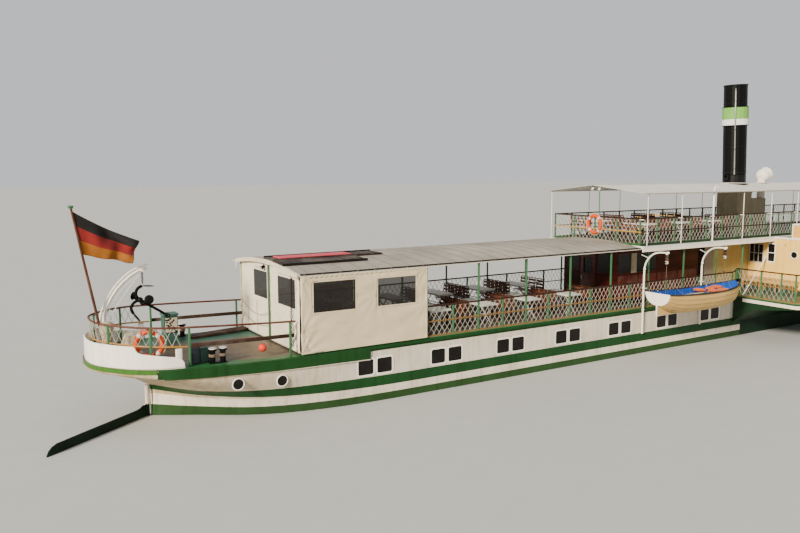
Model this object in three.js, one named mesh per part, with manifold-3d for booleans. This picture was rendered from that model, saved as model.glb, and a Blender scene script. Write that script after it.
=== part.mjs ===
import * as THREE from 'three';
import { mergeVertices } from 'three/addons/utils/BufferGeometryUtils.js';
import Module from 'manifold-3d';

const wasm = await Module();
wasm.setup();
const { Manifold, Mesh: SolidMesh } = wasm;

// Driving dimensions, millimetres at 1:10; x runs forward from midship, y to port, z up from the flat bottom.
const HALF_LENGTH = 2860;
const HALF_BEAM = 244;
const DECK_Z = 263;
const SEAT = 0.3;
const RAIL_Y = 241;
const RAIL_HEIGHT = 106;
const POST_PITCH = 104.7;
const ROOF_HALF = 250;
const EAVE_Z = 503;
const ROOF_RISE = 21;
const ROOF_AFT_X = -2315;
const UPPER_AFT_X = -880;
const UPPER_FORE_X = 1440;
const UPPER_HALF = 260;
const UPPER_BOTTOM = 498;
const UPPER_TOP = 510;
const AWNING_EDGE_Z = 714;
const AWNING_CROWN_Z = 742;
const AWNING_FORE_X = 1010;
const SPONSON_AFT_X = -280;
const SPONSON_FORE_X = 1300;
const SPONSON_HALF = 555;
const HOUSE_AFT_X = -20;
const HOUSE_FORE_X = 990;
const WHEEL_X = 510;
const WHEEL_Z = 210;
const WHEEL_RADIUS = 185;
const WHEEL_INNER_Y = 280;
const WHEEL_OUTER_Y = 500;
const FLOATS = 9;
const FUNNEL_X = 40;
const FUNNEL_RAKE = 3;
const FUNNEL_RADIUS = 51.5;
const FUNNEL_HINGE_Z = 780;
const VENT_X = 256;
const DAVIT_AFT_X = -860;
const DAVIT_FORE_X = -511;
const DAVIT_Y = -253;
const DAVIT_REACH = 104;
const DAVIT_HEAD_Z = 493;
const BOAT_X = -656;
const BOAT_Z = 257;
const RUDDER_X = -2691;
const RUDDER_ANGLE = 35;
const MAST_X = 1385;
const MAST_HINGE_Z = 648;

const group = new THREE.Group();

function place(name, body, color, roughness = 0.6, metalness = 0) {
  const data = body.getMesh();
  const geometry = new THREE.BufferGeometry();
  geometry.setAttribute('position', new THREE.BufferAttribute(new Float32Array(data.vertProperties), 3));
  geometry.setIndex(new THREE.BufferAttribute(new Uint32Array(data.triVerts), 1));
  geometry.computeVertexNormals();
  const mesh = new THREE.Mesh(geometry, new THREE.MeshStandardMaterial({ color, roughness, metalness }));
  mesh.name = name;
  group.add(mesh);
}

function toSolid(source) {
  let geometry = source.index ? source : source.clone();
  geometry.deleteAttribute('normal');
  geometry.deleteAttribute('uv');
  geometry = mergeVertices(geometry, 1e-4);
  const positions = geometry.getAttribute('position').array;
  return new Manifold(new SolidMesh({
    numProp: 3,
    vertProperties: new Float32Array(positions),
    triVerts: new Uint32Array(geometry.index.array),
  }));
}

const join = (...bodies) => Manifold.union(bodies.flat());
const cut = (body, ...tools) => body.subtract(Manifold.union(tools.flat()));

function box(x0, x1, y0, y1, z0, z1) {
  const geometry = new THREE.BoxGeometry(x1 - x0, y1 - y0, z1 - z0);
  geometry.translate((x0 + x1) / 2, (y0 + y1) / 2, (z0 + z1) / 2);
  return toSolid(geometry);
}

function rod(from, to, radius, sides = 8, endRadius = radius) {
  const a = new THREE.Vector3(...from);
  const b = new THREE.Vector3(...to);
  const direction = b.clone().sub(a);
  const geometry = new THREE.CylinderGeometry(endRadius, radius, direction.length(), sides);
  geometry.applyQuaternion(new THREE.Quaternion().setFromUnitVectors(
    new THREE.Vector3(0, 1, 0), direction.clone().normalize()));
  geometry.translate(...a.add(b).multiplyScalar(0.5).toArray());
  return toSolid(geometry);
}

function tube(points, radius, sides = 8, steps = 12) {
  const path = new THREE.CatmullRomCurve3(points.map((p) => new THREE.Vector3(...p)));
  const ring = new THREE.Shape();
  for (let i = 0; i < sides; i += 1) {
    const a = (i / sides) * Math.PI * 2;
    if (i === 0) ring.moveTo(radius * Math.cos(a), radius * Math.sin(a));
    else ring.lineTo(radius * Math.cos(a), radius * Math.sin(a));
  }
  return toSolid(new THREE.ExtrudeGeometry(ring, { extrudePath: path, steps, bevelEnabled: false }));
}

function lathe(profile, x, y, sides = 24) {
  const geometry = new THREE.LatheGeometry(profile.map((p) => new THREE.Vector2(p[0], p[1])), sides);
  geometry.rotateX(Math.PI / 2);
  geometry.translate(x, y, 0);
  return toSolid(geometry);
}

// Extrudes an outline; plane 'xz' thickens along y, 'yz' along x and 'xy' along z.
function extrude(outline, plane, start, end) {
  const shape = new THREE.Shape(outline.map((p) => new THREE.Vector2(...p)));
  const geometry = new THREE.ExtrudeGeometry(shape, { depth: end - start, bevelEnabled: false });
  const basis = new THREE.Matrix4();
  if (plane === 'xz') basis.set(1, 0, 0, 0, 0, 0, -1, end, 0, 1, 0, 0, 0, 0, 0, 1);
  else if (plane === 'yz') basis.set(0, 0, 1, start, 1, 0, 0, 0, 0, 1, 0, 0, 0, 0, 0, 1);
  else basis.makeTranslation(0, 0, start);
  geometry.applyMatrix4(basis);
  return toSolid(geometry);
}

function panel(outline, holes, plane, start, end) {
  const sheet = extrude(outline, plane, start, end);
  return holes.length ? cut(sheet, holes.map((hole) => extrude(hole, plane, start - 1, end + 1))) : sheet;
}

const rect = (a0, a1, b0, b1) => [[a0, b0], [a1, b0], [a1, b1], [a0, b1]];

// Joins equal rings of points into one closed body, the first and last rings being its ends.
function loft(rings) {
  const count = rings[0].length;
  const positions = rings.flat(2);
  const index = [];
  for (let s = 0; s < rings.length - 1; s += 1) {
    for (let i = 0; i < count; i += 1) {
      const a = s * count + i;
      const b = s * count + ((i + 1) % count);
      index.push(a, b, b + count, a, b + count, a + count);
    }
  }
  const last = (rings.length - 1) * count;
  for (let i = 1; i < count - 1; i += 1) {
    index.push(0, i + 1, i);
    index.push(last, last + i, last + i + 1);
  }
  const geometry = new THREE.BufferGeometry();
  geometry.setAttribute('position', new THREE.BufferAttribute(new Float32Array(positions), 3));
  geometry.setIndex(index);
  const body = toSolid(geometry);
  if (body.volume() > 0) return body;
  geometry.setIndex(index.map((_, i) => index[i - (i % 3) + 2 - (i % 3)]));
  return toSolid(geometry);
}

// Hull stations: x, keel z, then half-breadth and height of the bottom edge, turn, side and sheer strake, deck.
const STATIONS = [
  [-2858, 250, 5, 250, 12, 250.5, 30, 251, 55, 256, 60, 272],
  [-2830, 243, 5, 243, 12, 244, 40, 246, 102, 254, 108, 272],
  [-2780, 225, 5, 225, 12, 226, 40, 231, 162, 250, 170, 271],
  [-2730, 203, 5, 203, 12, 204, 20, 206, 198, 245, 204, 270],
  [-2687, 176, 5, 176, 10, 177, 13, 180, 214, 239, 220, 269],
  [-2684, 0, 6, 0, 8, 85, 14, 178, 215, 238, 221, 269],
  [-2580, 0, 15, 0, 72, 88, 112, 155, 228, 217, 234, 267],
  [-2410, 0, 60, 0, 165, 75, 205, 145, 241, 205, 243, 263],
  [-2160, 0, 130, 0, 215, 45, 240, 135, 244, 205, 244, 263],
  [-1810, 0, 210, 0, 236, 25, 244, 135, 244, 205, 244, 263],
  [-1410, 0, 225, 0, 242, 20, 244, 135, 244, 205, 244, 263],
  [1300, 0, 225, 0, 242, 20, 244, 135, 244, 205, 244, 263],
  [1690, 0, 200, 0, 230, 25, 242, 135, 244, 205, 244, 263],
  [2090, 0, 120, 0, 175, 35, 208, 145, 230, 210, 238, 269],
  [2390, 0, 55, 0, 95, 35, 132, 145, 178, 215, 196, 279],
  [2640, 0, 16, 0, 36, 45, 66, 155, 100, 225, 120, 290],
  [2790, 4, 5, 4, 9, 55, 19, 155, 40, 235, 50, 297],
  [2858, 12, 3, 12, 4, 65, 5, 155, 7, 235, 9, 303],
];

function between(x, column) {
  let i = 0;
  while (i < STATIONS.length - 2 && STATIONS[i + 1][0] < x) i += 1;
  const a = STATIONS[i];
  const b = STATIONS[i + 1];
  const t = Math.min(1, Math.max(0, (x - a[0]) / (b[0] - a[0])));
  return a[column] + t * (b[column] - a[column]);
}

const deckHalf = (x) => between(x, 10);
const deckZ = (x) => between(x, 11);

function hullRing([x, keel, y1, z1, y2, z2, y3, z3, y4, z4, y5, z5]) {
  const half = [[y1, z1], [y2, z2], [y3, z3], [y4, z4], [y5, z5]];
  return [[x, 0, keel], ...half.map(([y, z]) => [x, -y, z]), ...half.reverse().map(([y, z]) => [x, y, z])];
}

// A strip that follows the deck edge on one or both sides, from outset to inset, between two heights.
function edgeStrip(xs, side, outset, inset, low, high) {
  return loft(xs.map((x) => {
    const y = deckHalf(x);
    const z = deckZ(x);
    return [[x, side * (y + outset), z + low], [x, side * (y + outset), z + high],
      [x, side * (y - inset), z + high], [x, side * (y - inset), z + low]];
  }));
}

// The deck edge from one side round an end to the other, as x, y, z and the inward direction.
function rimPath(xs) {
  const side = (s) => xs.map((x) => [x, s * deckHalf(x), deckZ(x)]);
  const points = [...side(-1), ...side(1).reverse()];
  return points.map(([x, y, z], i) => {
    const a = points[Math.max(i - 1, 0)];
    const b = points[Math.min(i + 1, points.length - 1)];
    const length = Math.hypot(b[0] - a[0], b[1] - a[1]);
    const [nx, ny] = [-(b[1] - a[1]) / length, (b[0] - a[0]) / length];
    const inward = nx * (0 - x) + ny * (0 - y) > 0 ? 1 : -1;
    return { x, y, z, nx: nx * inward, ny: ny * inward };
  });
}

function rimStrip(path, outer, inner, low, high) {
  return loft(path.map(({ x, y, z, nx, ny }) => [
    [x + nx * outer, y + ny * outer, z + low], [x + nx * outer, y + ny * outer, z + high],
    [x + nx * inner, y + ny * inner, z + high], [x + nx * inner, y + ny * inner, z + low]]));
}

const stationXs = (from, to) => [from, ...STATIONS.map((s) => s[0]).filter((x) => x > from && x < to), to];

// Hull with its engine and boiler wells and the shaft bore.
const hullBody = loft(STATIONS.map(hullRing));
const beltXs = stationXs(-2770, -2080);
const edgeXs = stationXs(-2080, 2780);
const hull = cut(
  join(
    hullBody,
    edgeStrip(beltXs, -1, 5, 8, -27, -2), edgeStrip(beltXs, 1, 5, 8, -27, -2),
    edgeStrip(edgeXs, -1, 4, 8, -9, -1), edgeStrip(edgeXs, 1, 4, 8, -9, -1),
  ),
  box(90, 600, -130, 130, 25, 400),
  box(-390, 40, -140, 140, 25, 400),
  rod([WHEEL_X, -320, WHEEL_Z], [WHEEL_X, 320, WHEEL_Z], 12.4, 24),
);
place('hull', hull, 0xe8e4da, 0.55);
place('engine', box(130, 460, -100, 100, 25 + SEAT, 235), 0x3c4a3e, 0.6, 0.3);
place('boiler', box(-360, 10, -115, 115, 25 + SEAT, 240), 0x303030, 0.7, 0.2);

// Rudder: a stock in the trunk abaft the sternpost, the blade lying to starboard as seen.
function rudder() {
  const blade = panel([[0, 8], [-120, 8], [-352, 34], [-352, 62], [-330, 88], [-30, 118], [0, 118]], [], 'xz', -2, 2);
  const stock = rod([0, 0, 6], [0, 0, 177.3], 6, 12);
  return join(blade, stock).rotate([0, 0, RUDDER_ANGLE]).translate([RUDDER_X - 5, 0, 0]);
}
place('rudder', rudder(), 0x23603a, 0.6);

// Stern bulwark, rail, flag and anchor gear.
const sternXs = (foreX) => [foreX, ...STATIONS.map((s) => s[0]).filter((x) => x < foreX).reverse()];
function sternBulwark() {
  const wall = rimStrip(rimPath(sternXs(-2642)), 3, 8, SEAT, 65);
  const scoops = [-1, 1].flatMap((s) => {
    const [a, b] = [Math.min(s * 120, s * 300), Math.max(s * 120, s * 300)];
    return [
      rod([-2734, a, 353], [-2734, b, 353], 50, 16), box(-2734, -2674, a, b, 303, 400),
      box(-2680, -2600, a, b, 319, 400), cut(box(-2660, -2600, a, b, 295, 400), rod([-2660, a, 295], [-2660, b, 295], 20, 16)),
    ];
  });
  return cut(wall, scoops);
}
place('stern_bulwark', sternBulwark(), 0xefece4, 0.5);

// Posts of the stern rail as distances along x, with their half-breadth inside the rim.
const STERN_POSTS = [[-2820, 90], [-2728, 180], [-2631, 206], [-2336, 225]];
function sternRail() {
  const path = rimPath(sternXs(-2319));
  const bars = [rimStrip(path, 15, 21, 109, 114), rimStrip(path, 16, 20, 62, 66)];
  const posts = STERN_POSTS.flatMap(([x, y]) => [-1, 1].map((s) => (
    box(x - 3, x + 3, s * y - 3, s * y + 3, deckZ(x - 3) + SEAT, deckZ(x + 3) + 112))));
  return join(bars, posts);
}
place('stern_rail', sternRail(), 0x2f7a48, 0.5);
place('flagpole', rod([-2803, -9, 272.9], [-2878, -9, 702], 4.5, 10, 3), 0x8a4a22, 0.6);
place('flag', panel([[-2872.3, 690], [-2688, 595], [-2710, 538], [-2851.2, 571]], [], 'xz', -10, -8), 0x7a1d14, 0.8);

// The davit's arm rises from its foot in a quarter bend; the anchor has four arms and hangs by one.
const DAVIT_STERN_X = -2806;
place('anchor_davit', join(
  rod([DAVIT_STERN_X, 9, 272.4], [DAVIT_STERN_X, 9, 352], 7, 12),
  tube([[-2806, 9, 345], [-2804, 9, 390], [-2788, 9, 430], [-2768, 9, 462], [-2745, 9, 486], [-2714, 9, 509],
    [-2681, 9, 522]], 5, 6, 9),
), 0xf0efe9, 0.4);
function grapnel() {
  const arm = tube([[0, 0, 0], [-17, 0, 12], [-23, 0, 30], [-11, 0, 46], [14, 0, 54]], 3.4, 6, 6);
  const palm = box(-13, 12, -10, 10, -1.3, 1.3).rotate([0, -17.7, 0]).translate([2, 0, 50]);
  const arms = [0, 90, 180, 270].map((a) => join(arm, palm).rotate([a, 0, 0]));
  const shank = rod([-6, 0, 0], [74, 0, 0], 4, 8, 3);
  const ring = rod([72, -6, 0], [72, 6, 0], 2, 6);
  return join(arms, shank, ring).rotate([0, 38, 0]);
}
place('stern_anchor', join(
  rod([-2693, 9, 512.2], [-2693, 9, 464], 1.2, 6),
  grapnel().translate([-2695, 9, 428]),
), 0x1c1d20, 0.5, 0.4);

// Capstan under its cover, and a vented locker abaft the port rail.
const CAPSTAN_X = -2808;
const capstanZ = deckZ(CAPSTAN_X - 22) + SEAT;
place('capstan', lathe([[0, 0], [22, 0], [22, 4], [15, 9], [13, 40], [15, 76], [19, 84], [19, 104], [12, 112], [0, 114]]
  .map(([r, z]) => [r, z + capstanZ]), CAPSTAN_X, -50, 20), 0x77797a, 0.6, 0.2);
const lockerZ = deckZ(-2610) + SEAT;
place('vent_locker', cut(
  join(box(-2607, -2565, 120, 160, lockerZ, lockerZ + 86), box(-2610, -2562, 117, 163, lockerZ + 85, lockerZ + 90)),
  [0, 1, 2, 3].map((i) => box(-2612, -2604, 125, 155, lockerZ + 50 + i * 9, lockerZ + 54 + i * 9)),
), 0x3f6a5c, 0.6);

// Twin bollards aft, and the foredeck gear on its plate.
const bollards = (x, y, z) => join(
  box(x - 10, x + 40, y - 10, y + 10, z, z + 3),
  [x, x + 30].map((at) => join(rod([at, y, z + 1], [at, y, z + 36], 8, 10), rod([at, y, z + 34], [at, y, z + 40], 12, 10))),
);
place('bollards_aft_starboard', bollards(-2560, -200, 267 + SEAT), 0x2b2622, 0.6, 0.3);
place('bollards_aft_port', bollards(-2560, 200, 267 + SEAT), 0x2b2622, 0.6, 0.3);
function foredeckGear() {
  const z = deckZ(2100) + SEAT;
  const slope = Math.atan((deckZ(2380) - deckZ(2100)) / 280) * 180 / Math.PI;
  const gear = join(
    box(0, 270, -70, 70, 0, 3), bollards(40, -52, 1), bollards(40, 52, 1),
    box(190, 250, -52, -44, 1, 40), box(190, 250, 44, 52, 1, 40),
    rod([220, -66, 26], [220, 66, 26], 12, 14), rod([220, -34, 26], [220, -28, 26], 19, 14), rod([220, 28, 26], [220, 34, 26], 19, 14),
  );
  return gear.rotate([0, -slope, 0]).translate([2105, 0, z + 0.2]);
}
place('foredeck_gear', foredeckGear(), 0x2b2622, 0.6, 0.4);

// Side rails as flat frames; tall posts run on up to what they carry.
function railFrame(from, to, z0, pitch, plane, at, first = from + pitch, tall = () => 0, height = RAIL_HEIGHT) {
  const posts = [];
  for (let x = first; x < to - 28; x += pitch) if (x > from + 20) posts.push(x);
  const xs = [from + 3, ...posts, to - 3];
  const low = z0 + SEAT;
  const top = z0 + height;
  const outline = [[from, low], [to, low]];
  for (const [i, x] of [...xs.entries()].reverse()) {
    const head = tall(x, i);
    if (head) outline.push([x + 3, top], [x + 3, head], [x - 3, head], [x - 3, top]);
    else if (i === 0 || i === xs.length - 1) outline.push([i ? to : from, top]);
  }
  const holes = [];
  for (let i = 0; i < xs.length - 1; i += 1) {
    holes.push(rect(xs[i] + 3, xs[i + 1] - 3, low + 7, low + height * 0.48));
    holes.push(rect(xs[i] + 3, xs[i + 1] - 3, low + height * 0.51, top - 5));
  }
  return panel(outline, holes, plane, at - 2, at + 2);
}

const eaveHead = (x) => (x > UPPER_AFT_X ? UPPER_BOTTOM : EAVE_Z - 7.5) - SEAT;
function mainRail(side) {
  const x0 = ROOF_AFT_X + 10;
  return railFrame(x0, SPONSON_AFT_X - 4, DECK_Z, POST_PITCH, 'xz', side * RAIL_Y, -1764 - 4 * POST_PITCH,
    (x, i) => (i % 2 === 0 ? eaveHead(x) : 0));
}
place('main_rail_starboard', mainRail(-1), 0x2f7a48, 0.5);
place('main_rail_port', mainRail(1), 0x2f7a48, 0.5);

// Cambered roof over the open part of a deck.
const camber = (y, half, edge, rise) => edge + rise * (1 - (y / half) ** 2);
function camberedRoof(x0, x1, half, edge, rise, thickness) {
  const ys = [-1, -0.7, -0.4, 0, 0.4, 0.7, 1].map((k) => k * half);
  const top = ys.map((y) => [y, camber(y, half, edge, rise)]);
  const bottom = ys.slice().reverse().map((y) => [y, camber(y, half, edge, rise) - thickness]);
  return panel([...top, ...bottom].reverse(), [], 'yz', x0, x1);
}
place('aft_roof', camberedRoof(ROOF_AFT_X, UPPER_AFT_X - SEAT, ROOF_HALF, EAVE_Z, ROOF_RISE, 7), 0xa8a49c, 0.7);
// Two gangways stowed on the roof, the nearer one along the fall of its camber.
function gangway(length, width) {
  return join(box(0, length, -width / 2, width / 2, 0, 3), box(0, length, -width / 2, 5 - width / 2, 0, 10),
    box(0, length, width / 2 - 5, width / 2, 0, 10));
}
place('gangplank', join(
  gangway(375, 78).rotate([5.3, 0, 0]).translate([-2305, -139, 517.9]),
  gangway(375, 90).translate([-2325, -25, 524 + SEAT]),
  [-2240, -2030].map((x) => box(x, x + 15, -105, -66, 523, 527)),
), 0x3a302b, 0.8);

const ROOF_STEPS = [-1, -0.7, -0.4, 0, 0.4, 0.7, 1];
const canvasTop = EAVE_Z - 7 - SEAT;
const sideWindows = [rect(-2273, -2130, 385, 479), rect(-2056, -1914, 385, 475)];
for (const [name, y] of [['canvas_starboard', -249.5], ['canvas_port', 247.5]]) {
  place(name, panel(rect(ROOF_AFT_X + 4, -1872, 268, canvasTop), sideWindows, 'xz', y, y + 2), 0xe9e4d8, 0.85);
}
place('canvas_stern', panel([[-236, 268], [236, 268], [236, canvasTop],
  ...ROOF_STEPS.slice(1, -1).map((k) => [-k * ROOF_HALF, camber(k, 1, EAVE_Z, ROOF_RISE) - 7 - SEAT]), [-236, canvasTop]], [
  rect(4, 122, 394, 485), rect(-212, -78, 394, 485)], 'yz', ROOF_AFT_X + 4, ROOF_AFT_X + 6), 0xe9e4d8, 0.85);

// Deck boards with the benches and tables that stand on them.
function seatingDeck(x0, x1, half, z, rows) {
  const parts = [box(x0, x1, -half, half, z, z + 3)];
  for (const [x, kind, y0, y1] of rows) {
    const middle = (y0 + y1) / 2;
    if (kind === 'table') {
      parts.push(box(x - 35, x + 35, y0, y1, z + 72, z + 76), box(x - 5, x + 5, middle - 5, middle + 5, z + 2, z + 73));
    } else {
      const back = kind === 'fore' ? x + 16 : x - 22;
      parts.push(box(x - 22, x + 22, y0, y1, z + 38, z + 43), box(back, back + 6, y0, y1, z + 2, z + 95));
    }
  }
  return join(parts);
}
const aftRows = [];
for (let i = 0; i < 6; i += 1) {
  for (const [y0, y1] of [[-205, -60], [60, 205]]) {
    const x = -2180 + i * 200;
    aftRows.push([x, 'table', y0, y1], [x + 68, 'fore', y0, y1], [x - 68, 'aft', y0, y1]);
  }
}
place('aft_deck', seatingDeck(-2300, -1070, 225, DECK_Z + SEAT, aftRows), 0x8c6a4a, 0.8);

// Saloon between the side passages, with its aft door.
const SALOON_AFT_X = -906;
const SALOON_FORE_X = -275;
const SALOON_HALF = 137;
const houseTop = UPPER_BOTTOM - SEAT;
function wallBox(x0, x1, half, z0, z1, wall) {
  return cut(box(x0, x1, -half, half, z0, z1), box(x0 + wall, x1 - wall, -half + wall, half - wall, z0 - 1, z1 + 1));
}
const doorGap = 0.4;
const saloonOpenings = [
  box(-876, -652, -200, 200, 388, 468), box(-382, -340, -200, 200, DECK_Z + 8, 470),
  box(-920, -890, 52, 122, 388, 470), box(-920, -890, -122, -52, 388, 470),
  box(-920, -890, -40, 40, DECK_Z + 8, 460),
];
place('saloon', cut(
  wallBox(SALOON_AFT_X, SALOON_FORE_X, SALOON_HALF, DECK_Z + SEAT, houseTop, 8), saloonOpenings,
  box(SALOON_AFT_X - 1, UPPER_AFT_X - SEAT, -200, 200, EAVE_Z - 8, 600),
), 0x7d2f20, 0.7);
place('saloon_door', cut(
  box(SALOON_AFT_X, SALOON_AFT_X + 8, -40 + doorGap, 40 - doorGap, DECK_Z + 8 + doorGap, 460 - doorGap),
  box(-920, -890, -26, 26, 380, 445),
), 0x6a2a1c, 0.6);

// Stair from the main deck up through a hatch beside the funnel casing.
function stair() {
  const [x0, x1, y0, y1] = [-214, -38, 150, 206];
  const steps = 9;
  const rise = (UPPER_TOP - DECK_Z) / (steps + 1);
  const run = (x1 - x0 - 14) / steps;
  const treads = Array.from({ length: steps }, (_, i) => (
    box(x1 - 16 - i * run, x1 - i * run, y0 + 2, y1 - 2, DECK_Z + (i + 1) * rise - 2, DECK_Z + (i + 1) * rise)));
  const string = (y) => panel([[x1, DECK_Z + SEAT], [x1, DECK_Z + rise + 6], [x0, UPPER_TOP], [x0, UPPER_TOP - 26],
    [x1 - 14, DECK_Z + SEAT]], [], 'xz', y, y + 3);
  return join(treads, string(y0), string(y1 - 3));
}
place('stair', stair(), 0x7d4a2c, 0.6);

// Upper deck with its seating.
const upperRows = [];
for (let i = 0; i < 3; i += 1) {
  for (const [y0, y1] of [[-185, -60], [60, 185]]) {
    const x = -740 + i * 200;
    upperRows.push([x, 'table', y0, y1], [x + 68, 'fore', y0, y1], [x - 68, 'aft', y0, y1]);
  }
}
place('upper_deck', cut(join(
  box(UPPER_AFT_X, UPPER_FORE_X, -UPPER_HALF, UPPER_HALF, UPPER_BOTTOM, UPPER_TOP),
  seatingDeck(-840, -230, 200, UPPER_TOP - 1, upperRows),
), box(-218, -14, 146, 210, 490, 520)), 0x8f8a80, 0.7);

function upperRail() {
  const x0 = UPPER_AFT_X + 7;
  const x1 = UPPER_FORE_X - 7;
  return join(
    [-235, 235].map((y) => railFrame(x0, x1, UPPER_TOP, 101, 'xz', y)),
    [x0 + 2, x1 - 2].map((x) => railFrame(-237, 237, UPPER_TOP, 117, 'yz', x, -117)),
  );
}
place('upper_rail', upperRail(), 0x2f7a48, 0.5);

// Awning hoops, their edge bars and the cloth.
const hoopXs = [];
for (let x = -850; x < AWNING_FORE_X - 20; x += 200.6) hoopXs.push(x);
const awningZ = (y) => AWNING_CROWN_Z - (AWNING_CROWN_Z - AWNING_EDGE_Z) * Math.abs(y) / 260;
function awningFrame() {
  const under = (y) => awningZ(y) - 2;
  const outline = [[-254, UPPER_TOP + SEAT], [-250, UPPER_TOP + SEAT], [-250, under(250) - 4], [0, under(0) - 4],
    [250, under(250) - 4], [250, UPPER_TOP + SEAT], [254, UPPER_TOP + SEAT], [254, under(254)], [0, under(0)],
    [-254, under(254)]];
  const hoops = hoopXs.map((x, i) => {
    const hoop = panel(outline, [], 'yz', x - 2, x + 2);
    return i ? hoop : cut(hoop, box(x - 3, x + 3, 245, 260, 500, under(254) - 8));
  });
  const cornerPost = join(box(-879, -875, 250, 254, UPPER_TOP + SEAT, under(254) - 0.2),
    box(-879, -850, 250, 254, under(254) - 4.2, under(254) - 0.2));
  const end = hoopXs[hoopXs.length - 1] + 2;
  const bars = [-252, 252].map((y) => box(-852, end, y - 2, y + 2, under(254) - 4.2, under(254) - 0.2));
  const aftPost = box(-852, -847, -2.5, 2.5, UPPER_TOP + SEAT, under(0) - 2);
  return join(hoops, bars, aftPost, cornerPost);
}
place('awning_frame', awningFrame(), 0xf2f1ec, 0.4);
place('awning', cut(
  panel([[-260, AWNING_EDGE_Z - 1.7], [0, AWNING_CROWN_Z - 1.7], [260, AWNING_EDGE_Z - 1.7], [260, AWNING_EDGE_Z + 0.3],
    [0, AWNING_CROWN_Z + 0.3], [-260, AWNING_EDGE_Z + 0.3]], [], 'yz', -890, AWNING_FORE_X),
  rod([FUNNEL_X + 2, 0, 700], [FUNNEL_X + 2, 0, 760], 60, 24),
  rod([VENT_X, 0, 700], [VENT_X, 0, 760], 25, 16),
), 0xf1efe8, 0.85);

// Funnel casing and stump, the hinged funnel and the cowl vent.
const R = FUNNEL_RADIUS;
const raked = (body) => body.rotate([0, -FUNNEL_RAKE, 0]).translate([FUNNEL_X, 0, FUNNEL_HINGE_Z]);
place('funnel_casing', join(
  box(-4, 102, -55, 55, UPPER_TOP + SEAT, 702), box(100, 262, -24, 24, UPPER_TOP + SEAT, 667),
  raked(join(
    lathe([[0, -90], [R, -90], [R, -SEAT], [0, -SEAT]], 0, 0, 20),
    box(-64, -53, -12, -7, -20, 5), box(-64, -53, 7, 12, -20, 5), box(-64, -48, -12, 12, -20, -10),
  )),
), 0x55564a, 0.6, 0.1);
const FUNNEL_TOP = 415;
place('funnel', raked(join(
  lathe([[R - 3, 0], [R, 0], [R, 226], [R + 6, 229], [R + 6, 314], [R, 317], [R, FUNNEL_TOP], [R - 3, FUNNEL_TOP],
    [R - 3, 0]], 0, 0, 20),
  box(-64, -49, -6, 6, 0, 6),
)), 0x17181a, 0.5, 0.2);
place('cowl_vent', cut(join(
  rod([VENT_X, 0, 667 + SEAT], [VENT_X, 0, 770], 18, 14),
  rod([VENT_X + 14, 0, 778], [VENT_X + 38, 0, 786], 29, 16, 33),
  toSolid(new THREE.SphereGeometry(31, 12, 8).translate(VENT_X + 10, 0, 777)),
), rod([VENT_X + 28, 0, 783], [VENT_X + 52, 0, 791], 26, 16, 31)), 0xf3f2ee, 0.4);

// Lifeboat and its two davits.
// Sections of the boat as x, half-breadth, keel and gunwale heights.
const BOAT_ROWS = [[-249, 57, 39, 86], [-242, 58, 34, 85], [-200, 61, 16, 82], [-140, 64, 4, 79], [-30, 66, 0, 76],
  [80, 63, 2, 78], [160, 49, 8, 84], [210, 27, 20, 91], [244, 4, 44, 100]];
function boatShell(grow, top) {
  return loft(BOAT_ROWS.map(([x, half, keel, gunwale], i) => {
    const h = Math.max(half + grow, 1);
    const low = keel - grow;
    const depth = gunwale - keel;
    const at = i === 0 ? x - grow : i === BOAT_ROWS.length - 1 ? x + grow : x;
    return [[at, 0, low], [at, -h * 0.62, low + depth * 0.21], [at, -h * 0.93, low + depth * 0.55], [at, -h, gunwale + top],
      [at, h, gunwale + top], [at, h * 0.93, low + depth * 0.55], [at, h * 0.62, low + depth * 0.21]];
  }));
}
place('lifeboat', join(
  cut(boatShell(0, 0), boatShell(-4, 20)),
  box(-120, -95, -59, 59, 48, 52), box(20, 45, -60, 60, 48, 52), box(120, 142, -48, 48, 48, 52),
  panel([[-249, 2], [-140, 2], [-140, 6], [-200, 18], [-242, 38], [-249, 44]], [], 'xz', -2, 2),
  [DAVIT_AFT_X, DAVIT_FORE_X].map((x, i) => join(
    rod([x - BOAT_X, 0, i ? 9 : 20], [x - BOAT_X, 0, DAVIT_HEAD_Z - 8 - SEAT - BOAT_Z], 1.5, 6),
    rod([x - BOAT_X, 0, 186], [x - BOAT_X, 0, 200], 5, 8),
  )),
).translate([BOAT_X, DAVIT_Y - DAVIT_REACH, BOAT_Z]), 0xe6dcc0, 0.5);

function davit(x) {
  return join(
    rod([x, DAVIT_Y, 166], [x, DAVIT_Y, 420], 5, 10),
    tube([[x, DAVIT_Y, 412], [x, DAVIT_Y - 4, 437], [x, DAVIT_Y - 15, 458], [x, DAVIT_Y - 31, 475],
      [x, DAVIT_Y - 54, 487], [x, DAVIT_Y - DAVIT_REACH - 6, DAVIT_HEAD_Z]], 4.4, 7, 10),
    rod([x, DAVIT_Y - DAVIT_REACH, DAVIT_HEAD_Z - 8], [x, DAVIT_Y - DAVIT_REACH, DAVIT_HEAD_Z + 6], 4, 8),
  );
}
place('davit_aft', davit(DAVIT_AFT_X), 0xf2f1ec, 0.4);
place('davit_fore', davit(DAVIT_FORE_X), 0xf2f1ec, 0.4);

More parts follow.
